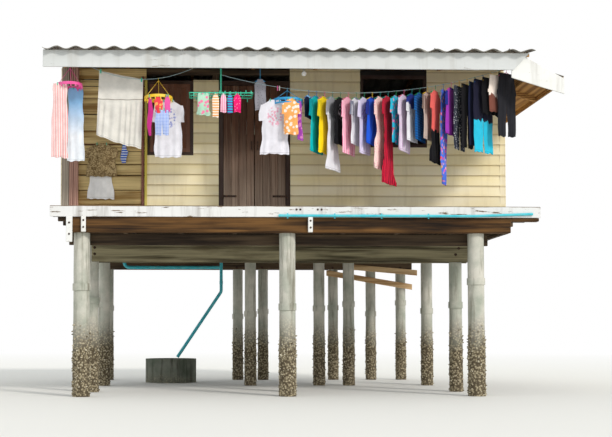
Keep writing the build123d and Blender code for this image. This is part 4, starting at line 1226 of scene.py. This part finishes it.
def make_bolts():
    """Bolts through the beams and brackets, and hook bolts through the crests of the roof sheets."""
    pile = Pile(303)
    stilts = [middle(*box) for box in solids("stilts_front") + solids("stilts_rear")]
    for low, high in solids("cross_beams") + solids("deep_beams"):
        centre = middle(low, high)
        for stilt in stilts:
            if abs(stilt.y - centre.y) > 0.2 or not low.x - 0.01 < stilt.x < high.x + 0.01:
                continue
            side, face = (1, high.y) if centre.y > stilt.y else (-1, low.y)
            for rise in (BOLT_SPREAD, -BOLT_SPREAD):
                spot = min(max(stilt.x + rise * 0.5, low.x + 0.04), high.x - 0.04)
                bolt(pile, (spot, face, centre.z + rise), (0, side, 0))
    for low, high in solids("deck_brackets"):
        for share in BRACKET_BOLTS:
            spot = (middle(low, high).x, low.y, low.z + (high.z - low.z) * share)
            bolt(pile, spot, (0, -1, 0), 0.013, 0.008)
    low, high = corners("deck_edge_board")
    for x in BOARD_BOLTS:
        bolt(pile, (x, low.y, high.z - 0.045), (0, -1, 0), 0.014, 0.009)
    low, high = corners("roof_sheets_front")
    for side in (-1, 1):
        rows = sorted({round(middle(*box).y, 3) for box in solids("roof_purlins") if side * box[0].y > 0.2})
        for y in rows:
            z = RIDGE_Z + SHEET_HEIGHT - abs(y) * math.tan(ROOF_SLOPE) + 0.001
            for wave in range(0, round((high.x - low.x) / WAVE), 2):
                x = low.x + (wave + WAVE_CREST) * WAVE
                bolt(pile, (x, y, z), (0, side * math.sin(ROOF_SLOPE), math.cos(ROOF_SLOPE)), 0.017, 0.009)
    pile.object("bolts", IRON, "iron", smooth=40)


PIPE_CLIPS = (0.12, 0.62, 1.9)
PIPE_JOINT = 0.75
DRAIN_JOINTS = (2.12, 1.72)
COUPLING = 0.003
COUPLING_HALF = 0.028


def make_pipe_fittings():
    """Clips that hold the water pipe to the edge board, and the sleeves where pipe lengths meet."""
    low, high = corners("water_pipe")
    pile = Pile(304)
    radius = (high.y - low.y) / 2
    y, z = middle(low, high).y, low.z + radius
    first, step, last = PIPE_CLIPS
    for k in range(math.ceil((last - low.x - first) / step)):
        x = low.x + first + k * step
        for edge in (-0.009, 0.009):
            pile.tube([(x + edge * 0.4, y, z), (x + edge, y, z)], radius + 0.0025, 18)
        pile.clip(Vector((x, high.y - 0.004, z)), 0.009, 0.004, 0.034, 0.034, 0.001)
    sleeve_ends = [(PIPE_JOINT + reach, y, z) for reach in (-0.03, -COUPLING_HALF, COUPLING_HALF, 0.03)]
    pile.tube(sleeve_ends, [radius, radius + COUPLING, radius + COUPLING, radius], 20)
    low, high = corners("drain_pipe")
    radius = (high.y - low.y) / 2
    x, y = high.x - radius, middle(low, high).y
    for z in DRAIN_JOINTS:
        pile.tube([(x, y, z - COUPLING_HALF), (x, y, z + COUPLING_HALF)], radius + COUPLING, 22)
    pile.object("pipe_fittings", TURQUOISE, "turquoise_pipe", smooth=40)


# Clothes. A garment is made in its own frame: U across, V towards the viewer's side, and Z down from
# its shoulders, and is then turned and carried to where it hangs.

CLOTH_SIDES = 44
CLOTH_HALF = 0.008
THIN_SHARE = 0.045
CALM_WIDTH = 0.28
FOLD_PITCH = 0.1
FOLD = {"trousers": 0.007, "shorts": 0.007, "scarf": 0.014}
FULL_FOLD = 0.025
HEM_RISE = 0.05
HEM_WALL = 0.002
HEM_RAGGED = 0.016
HEM_WIDTH = 0.022
HEM_SHADE = (0.62, 0.62, 0.62, 1.0)
SHOULDER_DROP = 0.07
NO_SLEEVE = 0.15
CROTCH = {"trousers": 0.34, "shorts": 0.5}
COLLAR = ((0.96, -0.006), (1.02, 0.006), (1.06, 0.004), (1.1, -0.012), (1.06, -0.018))

# The width of a garment's body, neck and foot as shares of its own, its sleeves and how they lean
SHAPES = {
    "shirt": {"body": 0.78, "neck": 0.34, "foot": 0.86, "sleeve": 0.3, "lean": 0.14},
    "dress": {"body": 0.7, "neck": 0.36, "foot": 0.98, "sleeve": 0.2, "lean": 0.12},
    "vest": {"body": 0.82, "neck": 0.4, "foot": 0.86, "sleeve": 0.0, "lean": 0.0},
    "skirt": {"body": 0.78, "neck": 0.7, "foot": 0.98, "sleeve": 0.0, "lean": 0.0},
}
SCARF = ((0, 0, 0.2), (-0.4, 0.01, 0.42), (-0.75, -0.01, 0.36), (-1, 0.0, 0.2))


def rounded(value, power):
    return math.copysign(abs(value) ** power, value)


def cloth_ring(half, centre, z, thick, fold, waves, phase, inset=0.0, ragged=0.0):
    """One closed ring of a garment, flat and wide, with its folds and an uneven height."""
    ring = []
    for k in range(CLOTH_SIDES):
        turn = TURN * k / CLOTH_SIDES
        u = centre + (half - inset) * rounded(math.cos(turn), 0.8)
        v = (thick - inset) * rounded(math.sin(turn), 0.7)
        drift = 1.6 * noise.noise(Vector((u * 2.0, z * 2.6, phase)))
        ripple = math.sin(TURN * (u - centre) / FOLD_PITCH * waves + phase + drift)
        v += fold * (0.55 * ripple + 0.5 * noise.noise(Vector((u * 7.0, z * 3.0, phase * 3.0))))
        lift = 0.5 * ripple + noise.noise(Vector((u * 9.0, phase * 5.0, 2.0)))
        ring.append(Vector((u, v, z + ragged * lift)))
    return ring


def add_part(pile, rings, tone):
    """Adds a part of a garment, with a tone that its cloth can colour by: 0 on the body, 1 on the rest."""
    start = len(pile.tone)
    pile.loft(rings, 2)
    pile.tone[start:] = [tone] * (len(pile.tone) - start)


def cloth_tube(pile, profile, thick, fold, phase, waves=1.0):
    """A garment's tube through (z, centre, half width), hollow at its foot."""
    top = profile[0][0]
    drop = top - profile[-1][0]
    places = []
    for start, end in zip(profile, profile[1:]):
        steps = max(1, round((start[0] - end[0]) / 0.05))
        places += [[a + (b - a) * s / steps for a, b in zip(start, end)] for s in range(steps)]
    rings = []
    for z, centre, half in (*places, profile[-1]):
        deep = (top - z) / drop
        grown = thick * (0.5 + 0.5 * min(1.0, (top - z) / 0.1 + 0.3))
        centre += 0.02 * deep * noise.noise(Vector((z * 3.5, phase, 7.0)))
        half *= 1 + 0.14 * min(1.0, deep * 3) * noise.noise(Vector((z * 5.5, phase * 2.0, 1.0)))
        ragged = HEM_RAGGED * deep ** 3
        rings.append(cloth_ring(half, centre, z, grown, fold * deep, waves, phase, 0.0, ragged))
    for rise, ragged in ((0.0, HEM_RAGGED), (HEM_RISE, 0.0)):
        rings.append(cloth_ring(half, centre, z + rise, thick, fold, waves, phase, HEM_WALL, ragged))
    add_part(pile, rings, 0.0)


def sleeve(pile, side, root_u, length, width, lean, phase):
    """A sleeve that hangs from the shoulder. side is -1 or 1."""
    rings = []
    steps = max(3, round(length / 0.04))
    for s in range(steps + 1):
        t = s / steps
        u = root_u + side * math.sin(lean) * length * t
        z = 0.008 - SHOULDER_DROP - math.cos(lean) * length * t
        half = width * (0.5 + 0.06 * math.sin(phase + t * 6)) * (1.0 - 0.12 * t)
        rings.append(cloth_ring(half, u, z, CLOTH_HALF * 0.9, 0.006 * t, 1.0, phase + side))
    add_part(pile, rings, 1.0)


def garment_mesh(pile, kind, width, length, phase, calm):
    """A garment that hangs from z = 0, its neck, down to its length. Small ones are thinner and calmer."""
    thick = min(CLOTH_HALF, width * THIN_SHARE)
    half = width * 0.5
    if kind in CROTCH:
        crotch = length * CROTCH[kind]
        top = [(0, 0, half * 0.84), (-0.05, 0, half * 0.86), (-crotch, 0, half * 0.98)]
        cloth_tube(pile, top, thick, FOLD[kind], phase)
        for side in (-1, 1):
            leg = [(0.04 - crotch, side * half * 0.46, half * 0.5), (-length, side * half * 0.5, half * 0.4)]
            cloth_tube(pile, leg, thick, FOLD[kind], phase + side)
        return
    if kind == "scarf":
        strip = [(length * z, centre, width * share) for z, centre, share in SCARF]
        strip.insert(1, (-0.08, 0, width * 0.3))
        cloth_tube(pile, strip, thick, FOLD[kind] * calm, phase, 1.3)
        return
    shape = SHAPES[kind]
    neck, body, foot = half * shape["neck"], half * shape["body"], half * shape["foot"]
    chest = half * min(1.0, shape["body"] * 1.08)
    profile = [(0, 0, neck), (-0.012, 0, neck * 1.15), (-SHOULDER_DROP, 0, chest), (-0.22, 0, body)]
    if kind == "dress":
        profile.append((-length * 0.45, 0, body * 0.82))
    profile.append((-length, 0, foot))
    cloth_tube(pile, profile, thick, FULL_FOLD * min(1.0, width / CALM_WIDTH) * calm, phase)
    collar = [cloth_ring(neck * grow, 0, z, thick * 0.75, 0.0, 1.0, phase) for grow, z in COLLAR]
    add_part(pile, collar, 1.0)
    if shape["sleeve"] and width > NO_SLEEVE:
        reach = 0.2 if kind == "dress" else shape["sleeve"] * length
        for side in (-1, 1):
            root = side * (chest - half * 0.2)
            sleeve(pile, side, root, reach, half * 0.55, shape["lean"], phase + side)


def hang(name, kind, width, length, place, turn, finish, node, phase, rests_on, calm=1.0):
    """Makes a garment, turns it about the vertical and hangs it at a place."""
    pile = Pile(int(phase * 100) + 1)
    garment_mesh(pile, kind, width, length, phase, calm)
    pile.flow = [Vector((v.x, v.z, v.y)) for v in pile.verts]
    pile.carry(0, standing_on(place.x, place.y, turn) @ Matrix.Translation((0, 0, place.z)))
    piece = pile.object(name, finish, "laundry_cloth", (node,), 60)


# Patterns that are one texture: its make, and the values at which the second colour starts and is full
TEXTURES = {
    "sleeves": (lambda finish, flow: finish.attribute("tone"), 0.0, 1.0),
    "stripes": (lambda finish, flow: finish.waves(flow, 14, 0.2), 0.45, 0.55),
    "bands": (lambda finish, flow: finish.waves(flow, 9, 0.3, "Y"), 0.45, 0.55),
    "leaves": (lambda finish, flow: finish.cells(flow, 19), 0.42, 0.36),
    "flowers": (lambda finish, flow: finish.cells(flow, 19), 0.42, 0.36),
    "spots": (lambda finish, flow: finish.cells(flow, 34), 0.26, 0.22),
    "marble": (lambda finish, flow: finish.noise(flow, 22, 6, 0.7, 1.5), 0.44, 0.58),
}


def second_share(finish, flow, down, pattern, length):
    """How much of the second colour shows, by pattern. down is the height under the shoulders."""
    if pattern in TEXTURES:
        make, low, high = TEXTURES[pattern]
        return finish.mask(make(finish, flow), low, high)
    if pattern == "check":
        lines = [finish.mask(finish.waves(flow, 16, 0.1, axis), 0.4, 0.6, 0.5) for axis in "XY"]
        return finish.maths("ADD", *lines)
    if pattern in ("lower", "upper"):
        edge = finish.plus(down, finish.noise(finish.stretched(flow, (9, 2, 9)), 1.0, 3), 0.3)
        drop, blur = (0.56, -0.01) if pattern == "lower" else (0.26, 0.01)
        return finish.mask(edge, 0.15 - drop * length, 0.15 - drop * length + blur)
    if pattern == "fade":
        return finish.mask(down, -0.66 * length, -0.2 * length)
    if pattern == "print":
        centre = (0.0, -0.225 * length, 0.0)
        away = finish.node("VectorMath", {0: finish.stretched(flow, (1.0, 0.75, 0.0)), 1: centre}, "Value",
                           operation="DISTANCE")
        spots = finish.mask(finish.cells(flow, 30), 0.5, 0.4, 0.7)
        return finish.maths("MULTIPLY", finish.mask(away, 0.15 * length, 0.12 * length), spots)
    if pattern == "seam":
        return finish.mask(finish.maths("ABSOLUTE", finish.maths("ADD", down, SEAM * length)), 0.009, 0.003)
    return 0.0


def cloth(name, main, second=None, pattern="plain", length=0.7):
    """Washed cloth: a fine weave, faded folds, a hem and a pattern in a second colour."""
    finish = Finish(name, 0.92, 0.1)
    flow = finish.attribute("flow", "Vector")
    down = finish.part(flow, "Y")
    weave = finish.noise(flow, 420, 2, 0.5)
    cloud = finish.noise(flow, 6, 4, 0.6)
    share = second_share(finish, flow, down, pattern, length)
    shade = finish.mix(share, main, second or main)
    if pattern == "flowers":
        shade = finish.mix(finish.maths("MULTIPLY", share, 0.45), shade, finish.cells(flow, 19, "Color"))
    faded = finish.greyed(shade, cloud, 0.86, 1.08, 0.3, 0.7)
    above_hem = finish.maths("ABSOLUTE", finish.maths("ADD", down, length - HEM_WIDTH))
    hem = finish.mix(1.0, faded, HEM_SHADE, "MULTIPLY")
    stitched = finish.mix(finish.mask(above_hem, 0.004, 0.001), faded, hem)
    finish.paint(finish.mix(0.1, stitched, weave, "OVERLAY"))
    finish.shader.inputs["Sheen Weight"].default_value = 0.06
    finish.shader.inputs["Sheen Roughness"].default_value = 0.5
    finish.bump(finish.mix(0.3, weave, cloud), 0.0012)
    return finish


NAVY, BLACK, WHITE_CLOTH = (24, 30, 60), (17, 16, 20), (222, 220, 225)
TEAL, YELLOW, PINK = (0, 172, 178), (250, 214, 24), (238, 128, 164)
RED, DARK_RED, LILAC = (222, 30, 62), (110, 12, 36), (214, 176, 216)
BLUE, DEEP_BLUE, SKY = (30, 84, 206), (26, 42, 128), (136, 188, 224)
PURPLE, GREY, BEIGE = (150, 52, 168), (150, 150, 156), (186, 166, 156)
CREAM_CLOTH, BROWN_CLOTH, ORANGE = (244, 228, 216), (110, 88, 58), (248, 170, 98)
MAGENTA, CYAN, CORAL = (232, 34, 112), (40, 184, 214), (228, 98, 92)

HANGER_COLOURS = {
    "blue": (36, 110, 190), "green": (20, 140, 84), "teal": (12, 140, 132), "pink": (232, 96, 140),
    "yellow": (236, 190, 30),
}

# The clothes on the main line from the left: shape, colours, pattern and hanger
LINE_CLOTHES = (
    ("vest", NAVY, SKY, "sleeves", "blue"),
    ("shirt", TEAL, (0, 140, 150), "sleeves", "blue"),
    ("shirt", YELLOW, (214, 190, 20), "sleeves", "pink"),
    ("dress", WHITE_CLOTH, GREY, "upper", "teal"),
    ("shirt", BLACK, WHITE_CLOTH, "print", "green"),
    ("shirt", PINK, (246, 206, 216), "stripes", "pink"),
    ("shirt", WHITE_CLOTH, (120, 122, 140), "sleeves", "green"),
    ("shirt", (214, 204, 230), PURPLE, "print", "green"),
    ("shirt", BLUE, DEEP_BLUE, "sleeves", "yellow"),
    ("dress", (240, 206, 200), PINK, "spots", "teal"),
    ("dress", RED, DARK_RED, "stripes", "teal"),
    ("shirt", CYAN, MAGENTA, "flowers", "green"),
    ("shirt", LILAC, WHITE_CLOTH, "stripes", "pink"),
    ("shirt", WHITE_CLOTH, DEEP_BLUE, "upper", "teal"),
    ("shirt", (20, 96, 160), (16, 60, 120), "bands", "green"),
    ("shirt", BEIGE, (120, 100, 92), "sleeves", "yellow"),
    ("dress", CORAL, BLACK, "lower", "green"),
    ("scarf", (70, 110, 214), MAGENTA, "flowers", "blue"),
    ("shirt", PURPLE, DEEP_BLUE, "sleeves", "pink"),
    ("trousers", (46, 50, 62), WHITE_CLOTH, "spots", "yellow"),
    ("trousers", BLACK, WHITE_CLOTH, "plain", "yellow"),
    ("trousers", NAVY, BLACK, "plain", "green"),
    ("trousers", (24, 24, 44), CYAN, "lower", "blue"),
    ("shorts", BLACK, GREY, "plain", "yellow"),
    ("shorts", CREAM_CLOTH, (120, 72, 60), "lower", "green"),
    ("trousers", (20, 20, 24), (44, 44, 50), "stripes", "pink"),
)
CAD_CLOTH = 0.03
LINE_WIDER = 1.1
CLOTHES_TURN = 32.0
MORE_TURN = 3.5
LAST_ALIKE = 17
HOOK_DROP = 0.07
NECK_GAP = 0.004
WIRE = 0.0032
ARM_WIRE = 0.0045


def make_line_clothes():
    hooks = {name: Pile(200 + i) for i, name in enumerate(HANGER_COLOURS)}
    for i, (box, row) in enumerate(zip(by_middle("laundry_on_line"), LINE_CLOTHES)):
        low, high = box
        kind, main_shade, second, pattern, hanger = row
        top = middle(low, high)
        top.z = high.z
        degrees = CLOTHES_TURN + MORE_TURN * max(0, i - LAST_ALIKE)
        turn = math.radians(degrees)
        width = LINE_WIDER * ((high.y - low.y) - CAD_CLOTH * math.sin(turn)) / math.cos(turn)
        length = high.z - low.z - HOOK_DROP
        finish = cloth(f"cloth_{i:02d}", main_shade, second, pattern, length)
        place = top - Vector((0, 0, HOOK_DROP + NECK_GAP))
        hang(f"hung_{i:02d}_{kind}", kind, width, length, place, 90 - degrees, finish, "laundry_on_line",
             0.7 + i * 1.37, "clothesline_main")
        wire_hanger(hooks[hanger], top, width * 0.42, math.pi / 2 - turn)
    for name, pile in hooks.items():
        finish = plain_plastic(f"{name}_plastic", HANGER_COLOURS[name], HANGER_COLOURS[name])
        pile.object(f"{name}_clothes_hangers", finish, "hanger_plastic", smooth=50)


def hook(top, along, radius, drop, count):
    """Points of a hook that lies over a line."""
    turns = [math.radians(30 * k - 90) for k in range(count)]
    return [top + along * radius * math.cos(t) + Vector((0, 0, radius * math.sin(t) - drop)) for t in turns]


def wire_hanger(pile, top, half, turn):
    """A hook over the line, a stem, and two arms that slope under the shoulders."""
    along = Vector((math.cos(turn), math.sin(turn), 0))
    stem = top - Vector((0, 0, 0.066))
    pile.tube([stem, *hook(top, along, 0.014, 0.008, 10)], WIRE, 7)
    for side in (-1, 1):
        arm = ((0, 0.004), (0.4, -0.014), (1, -0.055))
        pile.tube([stem + along * half * share * side + Vector((0, 0, z)) for share, z in arm], ARM_WIRE, 7)


# The clothes that face the front, from left to right by their middles: plate, shape, colours, pattern, the
# part of the CAD plate that each takes (left, right, top and bottom share) and what it hangs from
HOOPS, LOW_LINE, RAIL = "laundry_hangers", "line_pole", "laundry_rail"
FRONT_CLOTHES = (
    (0, "skirt", (246, 234, 230), (230, 150, 150), "stripes", (0, 1.05, 0, 1), HOOPS),
    (1, "skirt", (232, 238, 244), (140, 188, 230), "fade", (-0.05, 1, 0, 1), HOOPS),
    (2, "shirt", BROWN_CLOTH, (182, 160, 118), "marble", (0.0, 1.0, 0, 0.6), LOW_LINE),
    (2, "skirt", (240, 238, 236), None, "plain", (0.06, 0.88, 0.3, 1), LOW_LINE),
    (4, "scarf", (216, 226, 240), BLUE, "bands", (0, 1, 0, 1), LOW_LINE),
    (5, "scarf", (196, 50, 130), PURPLE, "plain", (0, 1, 0, 1), HOOPS),
    (6, "vest", (232, 66, 76), ORANGE, "leaves", (0, 0.55, 0, 0.36), HOOPS),
    (6, "vest", (226, 90, 160), PINK, "plain", (0.6, 1, 0, 0.42), HOOPS),
    (6, "shorts", (110, 140, 214), (206, 216, 240), "check", (0.06, 0.94, 0.36, 1), HOOPS),
    (7, "shirt", (226, 224, 230), (90, 110, 190), "print", (0, 1, 0, 1), HOOPS),
    (8, "skirt", (176, 214, 190), PINK, "leaves", (-0.3, 1.1, 0, 1), HOOPS),
    (9, "vest", CREAM_CLOTH, ORANGE, "bands", (-0.1, 1.1, 0, 1), HOOPS),
    (10, "vest", (246, 214, 226), PINK, "stripes", (-0.15, 1.05, 0, 1), HOOPS),
    (11, "vest", CYAN, (110, 60, 140), "bands", (-0.05, 1.1, 0, 1), HOOPS),
    (12, "vest", MAGENTA, PINK, "spots", (0, 1.2, 0, 1), HOOPS),
    (13, "vest", (150, 148, 156), (120, 118, 126), "spots", (0, 1, 0.28, 1), RAIL),
    (14, "shirt", (224, 221, 228), (226, 130, 160), "print", (0, 1, 0, 1), HOOPS),
    (15, "shirt", ORANGE, CREAM_CLOTH, "leaves", (0, 1, 0, 1), HOOPS),
    (16, "dress", (164, 70, 176), (214, 130, 190), "leaves", (0, 1, 0, 1), HOOPS),
)
LOW_LINE_OUT = {"skirt": 0.014, "shirt": 0.042, "scarf": 0.012}
LOW_LINE_CALM = 0.4
HOOK_PLATE = 13
HOOK_SHARE = 0.28


def make_front_clothes():
    node = "laundry_facing_front"
    boxes = by_middle(node)
    clips = Pile(230)
    for i, (index, kind, first, second, pattern, share, rests_on) in enumerate(FRONT_CLOTHES):
        low, high = boxes[index]
        size = high - low
        left, right = [low.x + size.x * part for part in share[:2]]
        top, bottom = [high.z - size.z * part for part in share[2:]]
        x, y = (left + right) / 2, (low.y + high.y) / 2
        calm = 1.0
        if rests_on == LOW_LINE:
            calm = LOW_LINE_CALM
            y -= LOW_LINE_OUT[kind]
        finish = cloth(f"front_cloth_{i:02d}", first, second, pattern, top - bottom)
        hang(f"front_{i:02d}_{kind}", kind, right - left, top - bottom, Vector((x, y, top - NECK_GAP)), 0,
             finish, node, 0.3 + i * 1.9, rests_on, calm)
        for side in (-1, 1) if rests_on != RAIL else ():
            clips.clip(Vector((x + side * (right - left) * 0.14, y - 0.002, top)), 0.005, 0.01, 0.02, 0.016)
    clips.object("clothes_clips", HOOP_GREEN, "hanger_plastic")
    low, high = boxes[HOOK_PLATE]
    top = middle(low, high)
    top.z = high.z
    stem = top - Vector((0, 0, (high.z - low.z) * HOOK_SHARE + 0.006))
    hanger = Pile(231)
    hanger.tube([stem, top - Vector((0, 0, 0.002))], 0.0035, 7)
    for side in (-1, 1):
        hanger.tube([stem, stem + Vector((side * 0.07, 0, -0.022))], ARM_WIRE, 7)
    hanger.object("grey_top_hanger", HOOP_BLUE, "hanger_plastic", smooth=50)


SIDE_CLOTH = 3
SIDE_CLOTH_WIDTH = 0.61
SIDE_CLOTH_LENGTH = 1.0
SIDE_CLOTH_COLUMNS = 64
SIDE_CLOTH_ROWS = 48
SIDE_CLOTH_HALF = Vector((0, 0.0015, 0))

# The seam's share of the way down the cut cloth, and of the hanging cloth's left and right edge
SEAM = 0.37
SEAM_LEFT = 0.44
SEAM_RIGHT = 0.287


def make_side_cloth():
    """The large white cloth on the short line: a stitched band on top and soft pleats under it."""
    node = "laundry_facing_front"
    low, high = by_middle(node)[SIDE_CLOTH]
    points = [v.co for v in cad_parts[node].data.vertices]
    points = [p for p in points if all(low[i] - 0.001 < p[i] < high[i] + 0.001 for i in range(3))]
    tops = sorted((p for p in points if p.z > high.z - 0.12), key=lambda p: p.x)
    feet = sorted((p for p in points if p.z < low.z + 0.3), key=lambda p: p.x)
    centre = middle(low, high)
    front, around_flat = [], []
    for r in range(SIDE_CLOTH_ROWS + 1):
        t = r / SIDE_CLOTH_ROWS
        for c in range(SIDE_CLOTH_COLUMNS + 1):
            s = c / SIDE_CLOTH_COLUMNS
            pleat = max(0.0, (t - SEAM) / (1 - SEAM))
            seam = SEAM_LEFT + (SEAM_RIGHT - SEAM_LEFT) * s
            down = seam + (1 - seam) * pleat if pleat else seam * t / SEAM
            point = tops[0].lerp(tops[-1], s).lerp(feet[0].lerp(feet[-1], s), down)
            depth = 0.012 * min(1.0, pleat * 5) * math.sin(s * 44 + 1.8 * math.sin(s * 9) + 2.0 * t)
            depth += 0.014 * noise.noise(Vector((s * 3, t * 2, 4.0)))
            depth -= 0.005 * math.exp(-(((t - SEAM) / 0.014) ** 2))
            point.y = centre.y + depth
            point.z -= 0.02 * t * math.sin(math.pi * s) + 0.006 * math.sin(s * 21) * t
            front.append(point)
            around_flat.append(Vector((s * SIDE_CLOTH_WIDTH, -t * SIDE_CLOTH_LENGTH, 0)))
    pile = Pile(240)
    pile.slab(SIDE_CLOTH_COLUMNS, [p - SIDE_CLOTH_HALF for p in front], [p + SIDE_CLOTH_HALF for p in front])
    pile.flow = around_flat * 2
    finish = cloth("white_cloth", (218, 214, 206), (140, 134, 124), "seam", SIDE_CLOTH_LENGTH)
    piece = pile.object("side_cloth", finish, "laundry_cloth", (node,), 70)
    clips = Pile(241)
    for corner, inward in ((tops[0], 0.02), (tops[-1], -0.02)):
        clips.clip(Vector((corner.x + inward, centre.y, corner.z)), 0.009, 0.011, 0.035, 0.02)
    clips.object("side_cloth_clips", HOOP_GREEN, "hanger_plastic")


# Hoops, rack and lines

HOOP_TUBE = 0.0065
HOOP_LIFT = 0.006
INNER_HOOP = 0.55
STRING = 0.003
ONE_BAND = (-0.018, -0.009, 0.0, 0.009)
TWO_BANDS = (-0.056, -0.047, -0.009, 0.0, 0.009)
HOOP_CLIP = (0.006, 0.005, 0.022, 0.022, 0.001)
HOOP_CLIPS = 16
RACK_BAR = 0.008
RACK_BARS = 9
RACK_CLIPS = 24


def hoop(pile, x, y, z, radius, top, bands):
    """A round clip hanger: a banded ring and an inner ring with spokes, three struts and a hook."""
    for lift in bands:
        pile.tube(around(x, y, z + lift, radius, 36) + [Vector((x + radius, y, z + lift))], HOOP_TUBE, 8)
    inner = around(x, y, z, radius * INNER_HOOP, 36)
    pile.tube([*inner, inner[0]], HOOP_TUBE * 0.6, 6)
    ends = zip(around(x, y, z, radius * INNER_HOOP, 6, 0.2), around(x, y, z, radius, 6, 0.2))
    for spoke in ends:
        pile.tube(spoke, HOOP_TUBE * 0.6, 6)
    apex = Vector((x, y, top - 0.028))
    for foot in around(x, y, z, radius, 3, math.pi / 2):
        pile.tube([foot, apex], STRING, 6)
    pile.tube([apex, *hook(Vector((x, y, top)), Vector((0, 1, 0)), 0.013, 0.007, 9)], STRING, 7)
    for spot in around(x, y, z - 0.028, radius, HOOP_CLIPS, math.pi / HOOP_CLIPS):
        pile.clip(spot, *HOOP_CLIP)


def make_hoops():
    pink, yellow, rack, blue = by_middle("laundry_hangers")
    rows = (
        (pink, "pink_hoop", HOOP_PINK, ONE_BAND), (yellow, "yellow_hoop", HOOP_YELLOW, ONE_BAND),
        (blue, "blue_hoop", HOOP_BLUE, TWO_BANDS),
    )
    for seed, ((low, high), name, finish, bands) in enumerate(rows, 250):
        pile = Pile(seed)
        x, y, _ = middle(low, high)
        hoop(pile, x, y, low.z + HOOP_LIFT, (high.x - low.x) / 2 - HOOP_TUBE, high.z, bands)
        pile.object(name, finish, "hanger_plastic", ("laundry_hangers",), 50)
    make_rack(*rack)


def make_rack(low, high):
    """A square clip rack: two long bars, cross bars, a bar along the middle and a stem."""
    pile = Pile(255)
    z = low.z + HOOP_LIFT
    x0, x1, y0, y1 = low.x + RACK_BAR, high.x - RACK_BAR, low.y + RACK_BAR, high.y - RACK_BAR
    centre = middle(low, high)
    for y in (y0, y1):
        pile.tube([(x0, y, z), (x1, y, z)], RACK_BAR, 8)
    for k in range(RACK_BARS):
        x = x0 + (x1 - x0) * k / (RACK_BARS - 1)
        pile.tube([(x, y0, z), (x, y1, z)], RACK_BAR * (0.9 if k % 4 == 0 else 0.6), 8)
    pile.tube([(x0, centre.y, z), (x1, centre.y, z)], RACK_BAR * 0.8, 8)
    pile.tube([(centre.x, centre.y, height) for height in (z, z + 0.1, high.z)], 0.011, 12)
    for k in range(RACK_CLIPS):
        x = low.x + 0.03 + (high.x - low.x - 0.06) * k / (RACK_CLIPS - 1)
        pile.clip(Vector((x, y0 if k % 2 else y1, z + pile.dice.uniform(-0.032, 0.02))), *HOOP_CLIP)
    pile.object("clothes_rack", HOOP_GREEN, "hanger_plastic", ("laundry_hangers",), 50)


LINE_Y = corners("laundry_rail")[0].y + 0.02
MAIN_LINE = ((-1.1015, LINE_Y, 4.308), (0.9055, LINE_Y, 3.7657), (2.9125, LINE_Y, 4.480))
MAIN_LENGTH = 4.083
SIDE_LINE = ((-2.8725, LINE_Y, 4.4144), (-2.1625, LINE_Y, 4.0684), (-1.4525, LINE_Y, 4.4144))
SIDE_LENGTH = 1.476
LINE_DIAMETER = 0.006
PEG_PLACE = Vector((-0.334, LINE_Y, 4.147))


def make_lines():
    rope = cloth("line_rope", (176, 200, 204), (196, 196, 190), "bands")
    rows = (("clothesline_main", MAIN_LINE, MAIN_LENGTH), ("clothesline_side", SIDE_LINE, SIDE_LENGTH))
    for node, route, length in rows:
        curve = bpy.data.curves.new(node + "_cord", "CURVE")
        curve.dimensions = "3D"
        curve.bevel_depth = LINE_DIAMETER / 2
        curve.bevel_resolution = 3
        curve.use_fill_caps = True
        curve.resolution_u = 48
        spline = curve.splines.new("NURBS")
        spline.points.add(len(route) - 1)
        for point, place in zip(spline.points, route):
            point.co = (*place, 1.0)
        spline.order_u = 3
        spline.use_endpoint_u = True
        cord = bpy.data.objects.new(node + "_cord", curve)
        curve.materials.append(rope.material)
        bpy.context.scene.collection.objects.link(cord)
        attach(cord, HOUSE)
        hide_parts(node)
        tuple(route[0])


def make_line_pegs():
    """Two pegs that stay on the bare end of the long line."""
    for name, finish, out in (("pink_peg", HOOP_PINK, -0.014), ("white_peg", WHITE_PLASTIC, 0.012)):
        pile = Pile(260)
        place = PEG_PLACE + Vector((out, 0, 0))
        pile.clip(place, 0.006, 0.009, 0.046, 0.018)
        pile.tube([place + Vector((x, 0, -0.006)) for x in (-0.009, 0.009)], 0.007, 8)
        pile.object(name, finish, "hanger_plastic", smooth=50)


def main():
    make_camera()
    make_lines()
    make_light()
    make_stage()
    make_siding()
    make_plank_bay()
    make_doors()
    make_shutters()
    make_deck()
    make_roof_sheets()
    make_side_sheets()
    make_ridge()
    make_flashing()
    make_stilts()
    make_timber()
    make_porch_post()
    make_lamp()
    make_bolts()
    make_pipe_fittings()
    make_line_pegs()
    make_hoops()
    make_line_clothes()
    make_front_clothes()
    make_side_cloth()


bpy.context.scene.view_settings.view_transform = "Standard"
main()
